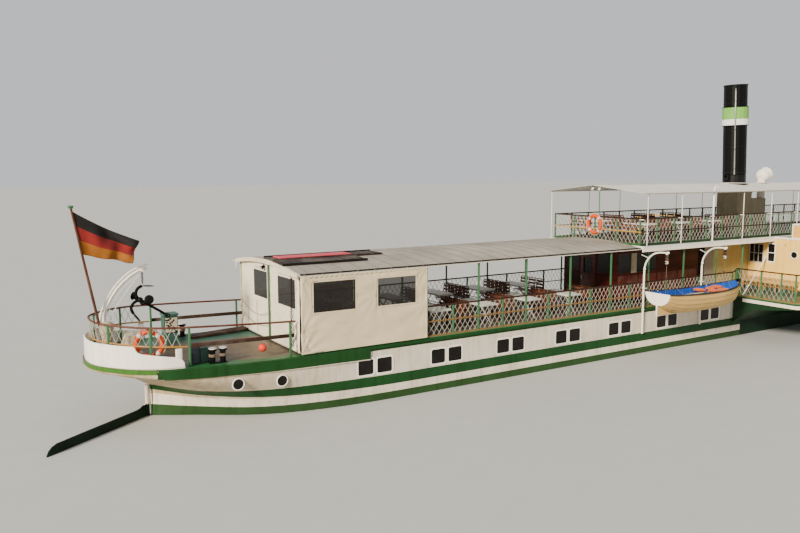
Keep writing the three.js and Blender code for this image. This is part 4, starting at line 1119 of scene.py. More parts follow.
def boatFittings():
    look = boatSet
    ends = look["rows"][0][0], look["rows"][-1][0]
    pieces = []
    for s in (-1, 1):
        along = [ends[0] + (ends[1] - ends[0]) * i / 16 for i in range(17)]
        pieces += [tubeIn("gunwale", [boatSkin(x, s, 0.0012) + Vector((0, 0, 0.0002)) for x in along], 0.0033, 1),
                   tubeIn("thwart", [boatSkin(x, s * 0.72, -0.0042) for x in along[1:-2]], 0.0016, 1)]
    skeg = [(-0.2495, 0.000), (-0.138, 0.001), (-0.100, 0.0015), (-0.150, 0.0075), (-0.200, 0.0185),
            (-0.242, 0.0375), (-0.2495, 0.0415)]
    pieces += [painted(addPlate(skeg, 0.0042, upright, 0.0005), "boatPlanks"),
               boxOf("white", (-0.2525, -0.2488), about(0, 0.0026), (0.0, 0.0655), 0.0006)]
    stem = [(-0.140, 0.0022), (0.080, 0.0012), (0.150, 0.0055), (0.202, 0.0165), (0.236, 0.0385), (0.2465, 0.070),
            (0.2485, 0.1035)]
    pieces += [tubeIn("boatPlanks", [(x, 0, z) for x, z in stem], 0.0024, 1),
               boxOf("black", (0.232, 0.2515), about(0, 0.0045), (0.094, 0.1045), 0.0012)]
    for x in range(10):
        at = -0.205 + x * 0.045
        rib = [boatSkin(at, part, -0.0036) for part in (-0.97, -0.75, -0.5, -0.2, 0.2, 0.5, 0.75, 0.97)]
        pieces.append(tubeIn("boatInside", rib, 0.0012, 1, smooth=False))
    for low, high, z in look["thwarts"]:
        half = min(boatSection(low)[0], boatSection(high)[0]) * 0.90
        pieces.append(boxOf("thwart", (low, high), about(0, half), about(z, 0.002), 0.0006))
    for k in range(5):
        y = (k - 2) * 0.0125
        pieces.append(boxOf("thwart", (-0.195, 0.150 - abs(k - 2) * 0.03), about(y, 0.005), (0.0175, 0.020), 0.0004))
    pieces.append(boxOf("thwart", (-0.240, -0.212), about(0, 0.048), (0.0605, 0.0635), 0.0006))
    for y in (-0.022, 0.026):
        pieces += [rodIn("pale", (-0.190, y, 0.0605), (0.105, y * 0.8, 0.0605), 0.0018, 8),
                   boxOf("pale", (-0.232, -0.188), about(y, 0.005), (0.0592, 0.0612), 0.0006)]
    return pieces


def lifeJackets():
    pads = []
    for x, y, z, turn in ((0.062, -0.016, 0.0715, 12), (0.101, -0.032, 0.0725, -24), (0.084, 0.018, 0.0745, 40),
                          (0.136, -0.010, 0.0690, 8), (0.040, 0.032, 0.0700, -8), (0.110, 0.008, 0.0800, 65)):
        pad = addBox((-0.023, -0.0175, -0.0065), (0.023, 0.0175, 0.0065))
        bpy.ops.object.mode_set(mode="EDIT")
        bpy.ops.mesh.subdivide(number_cuts=5)
        bpy.ops.object.mode_set(mode="OBJECT")
        for vertex in pad.data.vertices:
            u, v = vertex.co.x / 0.023, vertex.co.y / 0.0175
            crown = 0.85 * math.sqrt(max(0, (1 - u ** 4) * (1 - v ** 4)))
            vertex.co.z *= 0.35 + crown - 0.28 * math.exp(-(u / 0.16) ** 2)
            vertex.co.x *= 1 - 0.08 * v * v
            vertex.co.y *= 1 - 0.10 * u * u
        soften(pad)
        pad.data.transform(turned((x, y, z), turn) @ Matrix.Rotation(0.12, 4, "Y"))
        pads.append(painted(pad, "lifeJacket"))
    return pads


def boatFalls():
    centre = Vector(boatSet["centre"])
    pieces = []
    for x, low in boatSet["falls"]:
        at = x - centre.x
        head, blockTop, hook = 0.2275, 0.2065, 0.138
        for shift in (-0.0028, 0.0028):
            pieces.append(rodIn("ropeDark", (at + shift, 0, blockTop - 0.012), (at + shift * 0.6, 0, head), 0.0006,
                                6))
        for z, look, wide in ((0.2240, "gangway", 0.0048), (0.2105, "door", 0.0056), (0.1985, "pale", 0.0046)):
            pieces += [boxOf(look, about(at, wide), about(0, 0.0050), about(z, 0.0058), 0.0022),
                       rodIn("iron", (at - wide - 0.0008, 0, z), (at + wide + 0.0008, 0, z), 0.0034, 14)]
        pieces += [rodIn("ropeDark", (at, 0, hook), (at, 0, blockTop - 0.020), 0.0008, 6),
                   ringIn("iron", (at, 0, hook), (1, 0, 0), 0.0040, 0.0011, 18, 6)]
        run = -1 if x < centre.x else 1
        for s in (-1, 1):
            anchor = boatSkin(at - run * 0.030, s, -0.001)
            pieces += [rodIn("ropeDark", (at, s * 0.002, hook - 0.003), anchor, 0.0006, 6),
                       ballIn("pale", anchor, 0.0026, segments=10, rings=6)]
        pieces += [rodIn("ropeDark", (at, 0, low), (at, 0, hook - 0.003), 0.0006, 6),
                   ringIn("iron", (at, 0, low), (0, 1, 0), 0.0038, 0.0012, 16, 6)]
    return pieces


def addLifeboat():
    place = Matrix.Translation(boatSet["centre"])
    groups = (("lifeboatHull", [clinkerHull()]), ("lifeboatFittings", boatFittings()), ("lifeboatFalls", boatFalls()))
    for name, pieces in groups:
        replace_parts(joined(moved(pieces, place), name, body="lifeboat", smooth=True), "lifeboat")
    joined(moved(lifeJackets(), place), "lifeJackets", body="lifeboat", smooth=True)


addLifeboat()

davitSet = {"places": {"davit_aft": -0.860, "davit_fore": -0.511}, "y": -0.253, "foot": 0.1655, "top": 0.4130,
            "bend": ((-0.253, 0.4120), (-0.257, 0.4370), (-0.268, 0.4580), (-0.284, 0.4750), (-0.307, 0.4870),
                     (-0.3625, 0.4925)), "balls": ((-0.2545, 0.421, 0.0050), (-0.3615, 0.4925, 0.0052)),
            "collars": ((0.2605, 0.0016), (0.1705, 0.0018)), "cleat": 0.3450, "headY": -0.357}


def addDavit(body, x):
    look = davitSet
    y, cleat = look["y"], look["cleat"]
    arm = [addRod((x, y, look["foot"]), (x, y, look["top"]), 0.0038, 16),
           addTube([(x, *point) for point in look["bend"]], 0.0034, 2)]
    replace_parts(joined(arm, body + "Arm", "white", body, smooth=True), body)
    pieces = [addBall((x, across, z), radius) for across, z, radius in look["balls"]]
    pieces.append(addRod((x, -0.2740, 0.4640), (x - 0.032, -0.2650, 0.4790), 0.0015, 8))
    pieces += [addRing((x, y, z), (0, 0, 1), 0.0050, minor, 20, 8) for z, minor in look["collars"]]
    pieces += [addRod((x, -0.262, cleat), (x, -0.244, cleat), 0.0016, 8),
               addRod((x - 0.009, -0.2585, cleat), (x + 0.009, -0.2585, cleat), 0.0016, 8),
               addRod((x, look["headY"], 0.4845), (x, look["headY"], 0.4915), 0.0046, 12)]
    joined(pieces, body + "Fittings", "white", body, smooth=True)


for body, x in davitSet["places"].items():
    addDavit(body, x)
print("lifeboat and davits")

# Awning frame: thin posts and hoops with a bar along each edge; the post at the after end is green.
poleSet = {"aftX": -0.8495, "cornerX": -0.877, "half": 0.252, "eave": 0.7114, "ridge": 0.7385}
hoopXs = [awningSet["hoop"] + i * awningSet["hoopPitch"] for i in range(10)]


def awningPoles():
    look = poleSet
    half, eave, ridge = look["half"], look["eave"], look["ridge"]
    pieces = [rodIn("green", (look["aftX"], 0, upperFloorZ), (look["aftX"], 0, ridge), 0.0021, 12)]
    for x in hoopXs:
        pieces.append(tubeIn("white", [(x, -half, eave), (x, 0, ridge), (x, half, eave)], 0.0015, 1, smooth=False))
        for s in (-1, 1):
            at = look["cornerX"] if x == hoopXs[0] and s > 0 else x
            pieces.append(rodIn("white", (at, s * half, upperFloorZ), (at, s * half, eave), 0.0015, 10))
    for aft, y in ((-0.852, -half), (-0.878, half)):
        pieces.append(rodIn("white", (aft, y, 0.7108), (hoopXs[-1] + 0.002, y, 0.7108), 0.0017, 8))
    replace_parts(joined(pieces, "awningPoles", smooth=True), "awning_frame")


awningPoles()

# Deck boards are separate planks; chairs and tables are modelled once and copied down the rows.
finishes["plank"] = woodwork("deckPlanks", "#6f6150", rough=0.6, run=(5, 70, 70), contrast=0.45)
finishes["upperPlank"] = woodwork("upperDeckPlanks", "#646a5e", rough=0.6, run=(5, 70, 70), contrast=0.35)
# The chair slats are a darkened brown: painted shade under the roof and the awning.
finishes["chair"] = woodwork("chairSlats", "#6b3417", rough=0.5, coat=0.15, run=(60, 6, 60), contrast=0.5)
finishes["chairFrame"] = paint("chairFrames", "#4a2817", rough=0.5, wear=0.2)
finishes["tableTop"] = paint("tableTops", "#d9d6cc", rough=0.35, wear=0.15, streak=0.05)
finishes["tableLeg"] = paint("tableLegs", "#c9c6bb", rough=0.5, wear=0.3)
seatSet = {"aftDeck": {"xs": (-2.300, -1.070), "half": 0.225, "z": floorZ, "firstX": -2.180, "rows": 6,
                       "ys": (0.060, 0.205)},
           "upperDeck": {"xs": (-0.840, -0.230), "half": 0.200, "z": 0.5090, "firstX": -0.740, "rows": 3,
                         "ys": (0.060, 0.185)}, "rowPitch": 0.200, "seatOffset": 0.068, "plank": 0.0142,
           "gap": 0.0006, "thick": 0.0030}


def chairUnit(width):
    half = width / 2
    slats = [addBox((-0.021 + i * 0.0088, -half, 0.0405), (-0.0142 + i * 0.0088, half, 0.0428)) for i in range(5)]
    for z, lean in ((0.0585, 0.0190), (0.0715, 0.0202), (0.0845, 0.0216)):
        slats.append(addBox((lean, -half, z - 0.0042), (lean + 0.0018, half, z + 0.0042)))
    frames = []
    for s in (-1, 1):
        y = s * (half - 0.0022)
        frames += [addRod((0.0165, y, 0.0405), (0.0232, y, 0.0940), 0.0016, 6),
                   addRod((-0.0190, y, 0.0400), (0.0210, y, 0.0008), 0.0016, 6),
                   addRod((0.0185, y, 0.0400), (-0.0200, y, 0.0008), 0.0016, 6)]
    frames.append(addRod((0.0232, -half + 0.0016, 0.0935), (0.0232, half - 0.0016, 0.0935), 0.0019, 6))
    return merged([painted(piece, "chair") for piece in slats] + [painted(piece, "chairFrame") for piece in frames])


def tableUnit(length):
    half = length / 2
    top = boxOf("tableTop", about(0, 0.035), about(0, half), (0.0722, 0.0760), 0.0012)
    legs = [addBox((-0.034, -half + 0.001, 0.0700), (0.034, half - 0.001, 0.0722))]
    for s in (-1, 1):
        y = s * (half - 0.022)
        legs += [addRod((-0.027, y, 0.0705), (0.024, y, 0.0008), 0.0019, 6),
                 addRod((0.027, y, 0.0705), (-0.024, y, 0.0008), 0.0019, 6)]
    legs.append(addRod((0, -half + 0.022, 0.036), (0, half - 0.022, 0.036), 0.0016, 6))
    return merged([top] + [painted(leg, "tableLeg") for leg in legs])


def planks(look, finish, name):
    count = round(2 * look["half"] / seatSet["plank"])
    pitch = 2 * look["half"] / count
    board = addBox((look["xs"][0], 0, look["z"]), (look["xs"][1], pitch - seatSet["gap"],
                                                   look["z"] + seatSet["thick"]), 0.0004)
    return joined(copies(board, [(0, -look["half"] + i * pitch, 0) for i in range(count)]), name, finish)


def furnish(deck, look):
    length = look["ys"][1] - look["ys"][0]
    each = length / 3
    chairs, tables = [], []
    floor = look["z"] + seatSet["thick"] - 0.0002
    for i in range(look["rows"]):
        x = look["firstX"] + i * seatSet["rowPitch"]
        for s in (-1, 1):
            middle = s * (look["ys"][0] + length / 2)
            tables.append(Matrix.Translation((x, middle, floor)))
            for k in (-1, 0, 1):
                y = middle + k * each
                chairs += [Matrix.Translation((x + seatSet["seatOffset"], y, floor)),
                           Matrix.Translation((x - seatSet["seatOffset"], y, floor))
                           @ Matrix.Rotation(math.pi, 4, "Z")]
    joined(copies(chairUnit(each - 0.0045), chairs), deck + "Chairs")
    joined(copies(tableUnit(length), tables), deck + "Tables")


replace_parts(planks(seatSet["aftDeck"], "plank", "aftDeckPlanks"), "aft_deck")
furnish("aftDeck", seatSet["aftDeck"])

slabSet = {"low": (-0.880, -0.260, 0.498), "high": (1.440, 0.260, 0.510), "hatchLow": (-0.218, 0.146, 0.490),
           "hatchHigh": (-0.014, 0.210, 0.520)}


def slabZones(place):
    z = axes(place)[2]
    decking = boards(place, "#5d625a", 0.016)
    colour = mixed(times(above(facing()[2], 0.7), above(z, 0.505)), tint("#dfdcd2"), decking)
    return mixed(below(facing()[2], -0.7), colour, tint("#c9c5b6"))


def upperSlab():
    look = slabSet
    slab = addBox(look["low"], look["high"])
    hatch = addBox(look["hatchLow"], look["hatchHigh"])
    cutOut(slab, [hatch])
    roundOff(slab, 0.0012)
    coaming = [addBox((look["hatchLow"][0] - 0.004, y - 0.002, 0.5095),
                      (look["hatchHigh"][0] + 0.004, y + 0.002, 0.5155), 0.0006)
               for y in (look["hatchLow"][1] - 0.002, look["hatchHigh"][1] + 0.002)]
    coaming += [addBox((x - 0.002, look["hatchLow"][1], 0.5095), (x + 0.002, look["hatchHigh"][1], 0.5155), 0.0006)
                for x in (look["hatchLow"][0] - 0.002, look["hatchHigh"][0] + 0.002)]
    for s in (-1, 1):
        coaming.append(addBox((look["low"][0], s * 0.258 - 0.002, 0.4872), (-0.0205, s * 0.258 + 0.002, 0.4990),
                              0.0008))
    painted(slab, "slab")
    joined([slab] + [painted(piece, "white") for piece in coaming], "upperDeckSlab")
    return bpy.context.object


finishes["slab"] = paint("upperDeckPaint", "#dfdcd2", rough=0.6, wear=0.15, streak=0.15, zones=slabZones)
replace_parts(upperSlab(), "upper_deck")
planks(seatSet["upperDeck"], "upperPlank", "upperDeckPlanks")
furnish("upperDeck", seatSet["upperDeck"])
print("decks, chairs and tables")

# Framed windows fill the openings of the walls: a rim, a dark pane and bars that part it.
finishes["darkPane"] = glazing("darkPane", "#14110f", rough=0.2)
finishes["barGrey"] = paint("windowBars", "#b9b7ab", rough=0.5, wear=0.2)
finishes["redFrame"] = woodwork("saloonFrames", "#5e2218", run=(60, 60, 6))
finishes["frameWhite"] = paint("windowFrames", "#efece2", rough=0.45, wear=0.12)


def framedWindow(centre, direction, width, height, cols=1, rows=1, frameFinish="frameWhite", pane="darkPane",
                 rim=0.004, bar=0.0022):
    depth = 0.002
    unit = windowUnit(width + 2 * rim * 0.6, height + 2 * rim * 0.6, rim, depth, 0, frameFinish, pane)
    pieces = [unit]
    for i in range(1, cols):
        x = -width / 2 + width * i / cols
        pieces.append(boxOf(frameFinish, about(x, bar / 2), (-height / 2, height / 2), (-0.0002, depth * 0.7)))
    for j in range(1, rows):
        y = -height / 2 + height * j / rows
        pieces.append(boxOf(frameFinish, (-width / 2, width / 2), about(y, bar / 2), (-0.0002, depth * 0.7)))
    return moved(pieces, facingPlace(centre, direction))


# Saloon windows at its sides and after end, and those of the fore saloon.
saloonSet = {"half": 0.137, "aftX": -0.906, "side": ((-0.876, -0.803), (-0.773, -0.652)), "low": 0.388,
             "high": 0.468, "aftLow": 0.388, "aftHigh": 0.470, "aftYs": (0.052, 0.122), "foreHalf": 0.150,
             "panelZs": (0.283, 0.378),
             "panels": ((-0.876, -0.764), (-0.756, -0.652), (-0.640, -0.520), (-0.512, -0.392)),
             "fore": ((1.150, 1.270), (1.370, 1.490), (1.540, 1.660)), "foreHigh": 0.460}


def middle(a, b):
    return (a + b) / 2


def saloonWindows():
    look = saloonSet
    for side, s in sides.items():
        pieces = []
        for a, b in look["side"]:
            pieces += framedWindow((middle(a, b), s * (look["half"] - 0.001), middle(look["low"], look["high"])),
                                   (0, s, 0), b - a, look["high"] - look["low"], frameFinish="redFrame")
        a, b = look["side"][0][1], look["side"][1][0]
        pieces.append(boxIn("casing", (a, s * look["half"] - 0.003, look["low"]),
                            (b, s * look["half"] + 0.001, look["high"]), 0.0006))
        ya, yb = look["aftYs"]
        pieces += framedWindow((look["aftX"] + 0.001, s * middle(ya, yb), middle(look["aftLow"], look["aftHigh"])),
                               (-1, 0, 0), yb - ya, look["aftHigh"] - look["aftLow"], frameFinish="redFrame")
        low, high = look["panelZs"]
        for a, b in look["panels"]:
            panel = painted(windowUnit(b - a, high - low, 0.006, 0.0012, 0, "redFrame", "door"), "redFrame", "door")
            panel.data.transform(facingPlace((middle(a, b), s * (look["half"] + 0.0002), middle(low, high)),
                                             (0, s, 0)))
            pieces.append(panel)
        joined(pieces, "saloonWindows_" + side)
        pieces = []
        for a, b in look["fore"]:
            pieces += framedWindow((middle(a, b), s * (look["foreHalf"] - 0.001),
                                    middle(look["low"], look["foreHigh"])), (0, s, 0), b - a,
                                   look["foreHigh"] - look["low"], 2, 1, "redFrame")
        joined(pieces, "foreSaloonWindows_" + side)
    pane = boxOf("darkPane", (look["aftX"] + 0.003, look["aftX"] + 0.005), about(0, 0.0258), (0.3802, 0.4448))
    rails = [boxOf("redFrame", about(look["aftX"], 0.001), about(y, 0.002), (0.380, 0.445), 0.0005)
             for y in (-0.026, 0.026)]
    rails += [boxOf("redFrame", about(look["aftX"], 0.001), about(0, 0.028), about(z, 0.002), 0.0005)
              for z in (0.380, 0.445)]
    handle = rodIn("pale", (look["aftX"] - 0.004, 0.031, 0.352), (look["aftX"] - 0.004, 0.031, 0.368), 0.0012, 8)
    joined([pane, *rails, handle], "saloonDoorTrim", body="saloon_door")


saloonWindows()

# House windows: a wide six-paned one and a narrow two-paned one each side, with ringed portholes.
houseSet = {"aftX": -0.020, "foreX": 0.990, "wide": (0.142, 0.206, 0.388, 0.470),
            "narrow": (0.230, 0.262, 0.396, 0.475), "half": 0.540,
            "ports": ((-1, 0.351, 0.434, 0.014), (1, 0.310, 0.425, 0.014)), "sidePorts": (0.122, 0.872),
            "doorY": 0.176, "doorXs": (0.9895, 0.9915)}


def porthole(centre, direction, radius, rim=0.0032):
    out = Vector(direction)
    centre = Vector(centre)
    pieces = [ringIn("frameWhite", centre + out * 0.0004, out, radius + rim * 0.5, rim * 0.62, 32, 8),
              rodIn("darkPane", centre - out * 0.0045, centre - out * 0.0015, radius, 28)]
    for i in range(6):
        angle = math.radians(i * 60 + 15)
        bolt = facingPlace(centre, direction) @ Vector((math.cos(angle) * (radius + rim * 0.5),
                                                        math.sin(angle) * (radius + rim * 0.5), rim * 0.55))
        pieces.append(ballIn("pale", bolt, 0.0007, segments=8, rings=5))
    return pieces


def houseTrim(side, s):
    look = houseSet
    pieces = []
    for (a, b, low, high), cols, rows in ((look["wide"], 3, 2), (look["narrow"], 1, 2)):
        finish = "barGrey" if cols == 3 else "frameWhite"
        pieces += framedWindow((look["aftX"] - 0.0002, s * middle(a, b), middle(low, high)), (-1, 0, 0), b - a,
                               high - low, cols, rows, finish, rim=0.0032, bar=0.0026)
    for end, y, z, radius in look["ports"]:
        x = look["aftX"] if end < 0 else look["foreX"]
        pieces += porthole((x, s * y, z), (end, 0, 0), radius)
    for x in look["sidePorts"]:
        pieces += porthole((x, s * look["half"], 0.425), (0, s, 0), 0.016)
    pieces += framedWindow((look["foreX"] + 0.0002, s * 0.070, 0.425), (1, 0, 0), 0.080, 0.074, 2, 2, "frameWhite")
    pieces.append(ringIn("black", (look["aftX"] - 0.0012, s * 0.311, 0.475), (0, 1, 0), 0.0030, 0.0009, 16, 6))
    for trim, low, high, out in (("cream", floorZ, 0.2720, 0.0020), ("white", 0.5000, 0.5080, 0.0028)):
        pieces += [boxOf(trim, (-0.0200 - out, -0.0198), about(s * 0.3840, 0.1560), (low, high), 0.0006),
                   boxIn(trim, (-0.0200, s * 0.5400 - (0 if s > 0 else out), low),
                         (0.9900, s * 0.5400 + (out if s > 0 else 0), high), 0.0006),
                   boxOf(trim, (0.9898, 0.9900 + out), about(s * 0.3840, 0.1560), (low, high), 0.0006)]
    joined(pieces, "houseTrim_" + side, smooth=True)
    y, xs = s * look["doorY"], look["doorXs"]
    door = [boxOf("darkPane", (0.9852, 0.9872), about(y, 0.0158), (0.3852, 0.4548))]
    door += [boxOf("varnish", xs, about(y + shift, 0.0018), (0.383, 0.457), 0.0005) for shift in (-0.0165, 0.0165)]
    door += [boxOf("varnish", xs, about(y, 0.0183), about(z, 0.0018), 0.0005) for z in (0.384, 0.456)]
    door.append(ballIn("pale", (0.9940, y + 0.0205, 0.362), 0.0028, segments=12, rings=8))
    joined(door, "midshipDoorTrim_" + side, body="midship_door_" + side)


for side, s in sides.items():
    houseTrim(side, s)

# Slatted benches against the after walls of the side cabins; a pillar, a post and a pole at the rail's corner.
def sponsonBenches():
    for side, s in sides.items():
        near, far = (0.225, 0.385) if s > 0 else (0.135, 0.385)
        across = about(s * middle(near, far), (far - near) / 2)
        pieces = []
        for i in range(4):
            x = -0.064 + i * 0.0098
            pieces.append(boxOf("benchWood", (x, x + 0.0078), across, (0.3020, 0.3045), 0.0005))
        for z in (0.3120, 0.3200):
            pieces.append(boxOf("benchWood", (-0.0262, -0.0235), across, about(z, 0.0030), 0.0005))
        for k in range(4):
            y = s * (near + 0.008 + k * (far - near - 0.016) / 3)
            for x, top in ((-0.0600, 0.3022), (-0.0268, 0.3220)):
                pieces.append(boxOf("benchWood", about(x, 0.0014), about(y, 0.0016), (floorZ, top)))
            pieces.append(boxOf("benchWood", (-0.0610, -0.0260), about(y, 0.0016), (0.2985, 0.3022)))
        joined(pieces, "benches_" + side)
        corner = [boxOf("green", (-0.262, -0.244), about(s * 0.2420, 0.0065), (floorZ, 0.3810), 0.0012),
                  rodIn("green", (-0.228, s * 0.2440, floorZ), (-0.228, s * 0.2440, 0.4880), 0.0034, 12)]
        corner += [rodIn("gangway", (-0.276, s * 0.2385, z), (-0.250, s * 0.2425, z + lift), 0.0024, 8)
                   for z, lift in ((0.3668, 0.0130), (0.3155, 0.0075))]
        if s < 0:
            corner.append(rodIn("frameWhite", (-0.0230, -0.2250, 0.4160), (-0.2580, -0.2740, 0.2660), 0.0026, 12))
        joined(corner, "cornerPosts_" + side, smooth=True)


finishes["benchWood"] = woodwork("benchWood", "#c79a48", rough=0.45, run=(60, 6, 60), contrast=0.35)
sponsonBenches()

# Louvred lockers on the cabin roofs, and the arch and rays of the paddle boxes.
lockerSet = {"xs": (-0.010, 0.180), "ys": (0.333, 0.528), "low": 0.506, "high": 0.567, "slats": 9}
boxSet = {"x": 0.510, "y": 0.540, "z": 0.292, "inner": 0.088, "outer": 0.183,
          "rays": (10, 30, 50, 70, 90, 110, 130, 150, 170)}


def roofLocker(side, s):
    look = lockerSet
    x0 = look["xs"][0]
    y0, y1 = look["ys"]
    top = look["high"] + 0.0015
    across = about(s * middle(y0, y1), (y1 - y0) / 2)
    pieces = [boxOf("frameWhite", about(x, 0.0025), about(s * y, 0.0025), (look["low"], top), 0.0006)
              for x in look["xs"] for y in look["ys"]]
    pieces += [boxOf("frameWhite", about(x, 0.0022), across, (look["high"] - 0.004, top), 0.0006) for x in look["xs"]]
    pieces += [boxOf("frameWhite", look["xs"], about(s * y, 0.0022), (look["high"] - 0.004, top), 0.0006)
               for y in look["ys"]]
    for i in range(look["slats"]):
        z = look["low"] + 0.009 + i * 0.0056
        pieces.append(boxOf("wheelhouse", (x0 - 0.0016, x0 + 0.0004), (across[0] + 0.004, across[1] - 0.004),
                            (z, z + 0.0020)))
    joined(pieces, "roofLockerTrim_" + side)


def paddleBoxTrim(side, s):
    look = boxSet
    y = s * (look["y"] + 0.0008)

    def onArc(radius, degrees):
        angle = math.radians(degrees)
        return look["x"] + radius * math.cos(angle), y, look["z"] + radius * math.sin(angle)

    pieces = []
    for radius, thick in ((look["inner"] - 0.004, 0.0026), (look["outer"], 0.0030)):
        pieces.append(tubeIn("frameWhite", [onArc(radius, a) for a in range(0, 181, 6)], thick, 1, smooth=False))
    for a in look["rays"]:
        ray = [onArc(radius, a) for radius in (look["inner"], look["outer"] - 0.003)]
        pieces.append(tubeIn("bandGreen", ray, 0.0018, 1, smooth=False))
    pieces.append(tubeIn("frameWhite", [(look["x"] - look["outer"] - 0.010, y, look["z"]),
                                        (look["x"] + look["outer"] + 0.010, y, look["z"])], 0.0026, 1,
                         smooth=False))
    plate = [(look["x"] + 0.050 * math.cos(math.radians(a)), look["z"] + 0.0015
              + 0.050 * math.sin(math.radians(a))) for a in range(0, 181, 9)]
    boss = addPlate(plate, 0.0030, Matrix.Translation((0, y, 0)) @ upright, 0.0006)
    pieces += [painted(boss, "bandGreen"), rodIn("frameWhite", (look["x"], y - s * 0.001, look["z"] + 0.018),
                                                 (look["x"], y + s * 0.0034, look["z"] + 0.018), 0.013, 24, 0.010)]
    for xEdge in (0.266, 0.754):
        pieces.append(boxOf("frameWhite", about(xEdge, 0.0030), about(y, 0.0014), (0.2720, 0.5000), 0.0006))
    joined(pieces, "paddleBoxTrim_" + side, smooth=True)


finishes["bandGreen"] = paint("trimGreen", "#2f5f33", rough=0.45, wear=0.15)
for side, s in sides.items():
    roofLocker(side, s)
    paddleBoxTrim(side, s)

# Wheelhouse: clear panes, frames, a ship's wheel on its stand and a lamp each side.
wheelhouseSet = {"aft": 1.060, "fore": 1.280, "half": 0.110, "low": 0.640, "high": 0.715,
                 "foreYs": ((-0.095, -0.037), (-0.029, 0.029), (0.037, 0.095)),
                 "aftYs": ((-0.090, -0.010), (0.010, 0.090)), "sideXs": (1.205, 1.265), "spokes": 8,
                 "wheelRadius": 0.036}


clearWindow = partial(framedWindow, frameFinish="varnish", pane="clearPane", rim=0.0034)


def wheelhouseTrim():
    look = wheelhouseSet
    z, height = middle(look["low"], look["high"]), look["high"] - look["low"]
    pieces = []
    for a, b in look["foreYs"]:
        pieces += clearWindow((look["fore"] - 0.002, middle(a, b), z), (1, 0, 0), b - a, height)
    for a, b in look["aftYs"]:
        pieces += clearWindow((look["aft"] + 0.002, middle(a, b), z), (-1, 0, 0), b - a, height, 2)
    for s in (-1, 1):
        a, b = look["sideXs"]
        pieces += clearWindow((middle(a, b), s * (look["half"] - 0.002), z), (0, s, 0), b - a, height)
        pieces.append(boxOf("darkRed" if s > 0 else "bandGreen", (1.140, 1.158), about(s * 0.1145, 0.0045),
                            (0.7040, 0.7200), 0.0012))
    joined(pieces, "wheelhouseWindows")
    hub = Vector((1.225, 0, 0.600))
    parts = [ringIn("varnish", hub, (1, 0, 0), look["wheelRadius"], 0.0020, 36, 8),
             rodIn("varnish", hub - Vector((0.004, 0, 0)), hub + Vector((0.004, 0, 0)), 0.007, 16),
             boxOf("varnish", (1.231, 1.255), about(0, 0.011), (upperFloorZ, 0.612), 0.002),
             rodIn("pale", hub, hub + Vector((0.010, 0, 0)), 0.003, 10)]
    for i in range(look["spokes"]):
        angle = 2 * math.pi * i / look["spokes"]
        out = Vector((0, math.cos(angle), math.sin(angle)))
        parts.append(rodIn("varnish", hub + out * 0.006, hub + out * (look["wheelRadius"] + 0.010), 0.0014, 8,
                           0.0019))
    joined(parts, "steeringWheel", smooth=True)
    for side, s in sides.items():
        y = s * (look["half"] - 0.003)
        x0, x1 = 1.122, 1.173
        trim = [boxOf("clearPane", (x0 + 0.0002, x1 - 0.0002), about(y, 0.001), (0.6402, 0.7048))]
        trim += [boxOf("varnish", about(x, 0.0018), about(s * look["half"], 0.001), (0.638, 0.707), 0.0005)
                 for x in (x0, x1)]
        trim += [boxOf("varnish", (x0 - 0.0018, x1 + 0.0018), about(s * look["half"], 0.001), about(zz, 0.0018),
                       0.0005) for zz in (0.640, 0.705)]
        trim.append(rodIn("pale", (1.117, s * (look["half"] + 0.0035), 0.600),
                          (1.117, s * (look["half"] + 0.0035), 0.614), 0.0012, 8))
        joined(trim, "wheelhouseDoorTrim_" + side, body="wheelhouse_door_" + side)


finishes["clearPane"] = glazing("clearPane", "#3a4646", alpha=0.35, rough=0.05)
finishes["darkRed"] = paint("lampRed", "#8c2219", rough=0.3)
wheelhouseTrim()
print("windows and trim")

# Stern gear: bollard caps, the small locker, the fender ball, and the anchor davit's bars and chain.
finishes["slate"] = paint("slateLocker", "#2f363c", rough=0.6, wear=0.3)
finishes["fenderRed"] = paint("fenderRed", "#d8402c", rough=0.4, wear=0.15)
finishes["bundleCloth"] = cloth("bundleCloth", "#a89b84", stain=0.4, across=(0, 1), weave=260)
finishes["chain"] = paint("chainIron", "#3a3532", rough=0.55, metal=0.6)


def chainLinks(points, pitch, major, minor):
    path = alongPath([Vector(p) for p in points], pitch)
    links = []
    for i, (a, b) in enumerate(zip(path, path[1:])):
        link = addRing((0, 0, 0), (0, 1, 0) if i % 2 else (1, 0, 0), major, minor, 10, 5)
        for vertex in link.data.vertices:
            vertex.co.z *= 1.45
        link.data.transform(facingPlace((a + b) / 2, (b - a).normalized()))
        links.append(painted(link, "chain"))
    return links


def hanging(start, end, sag, count=14):
    start, end = Vector(start), Vector(end)
    points = []
    for i in range(count + 1):
        t = i / count
        points.append(start.lerp(end, t) - Vector((0, 0, sag * 4 * t * (1 - t))))
    return points


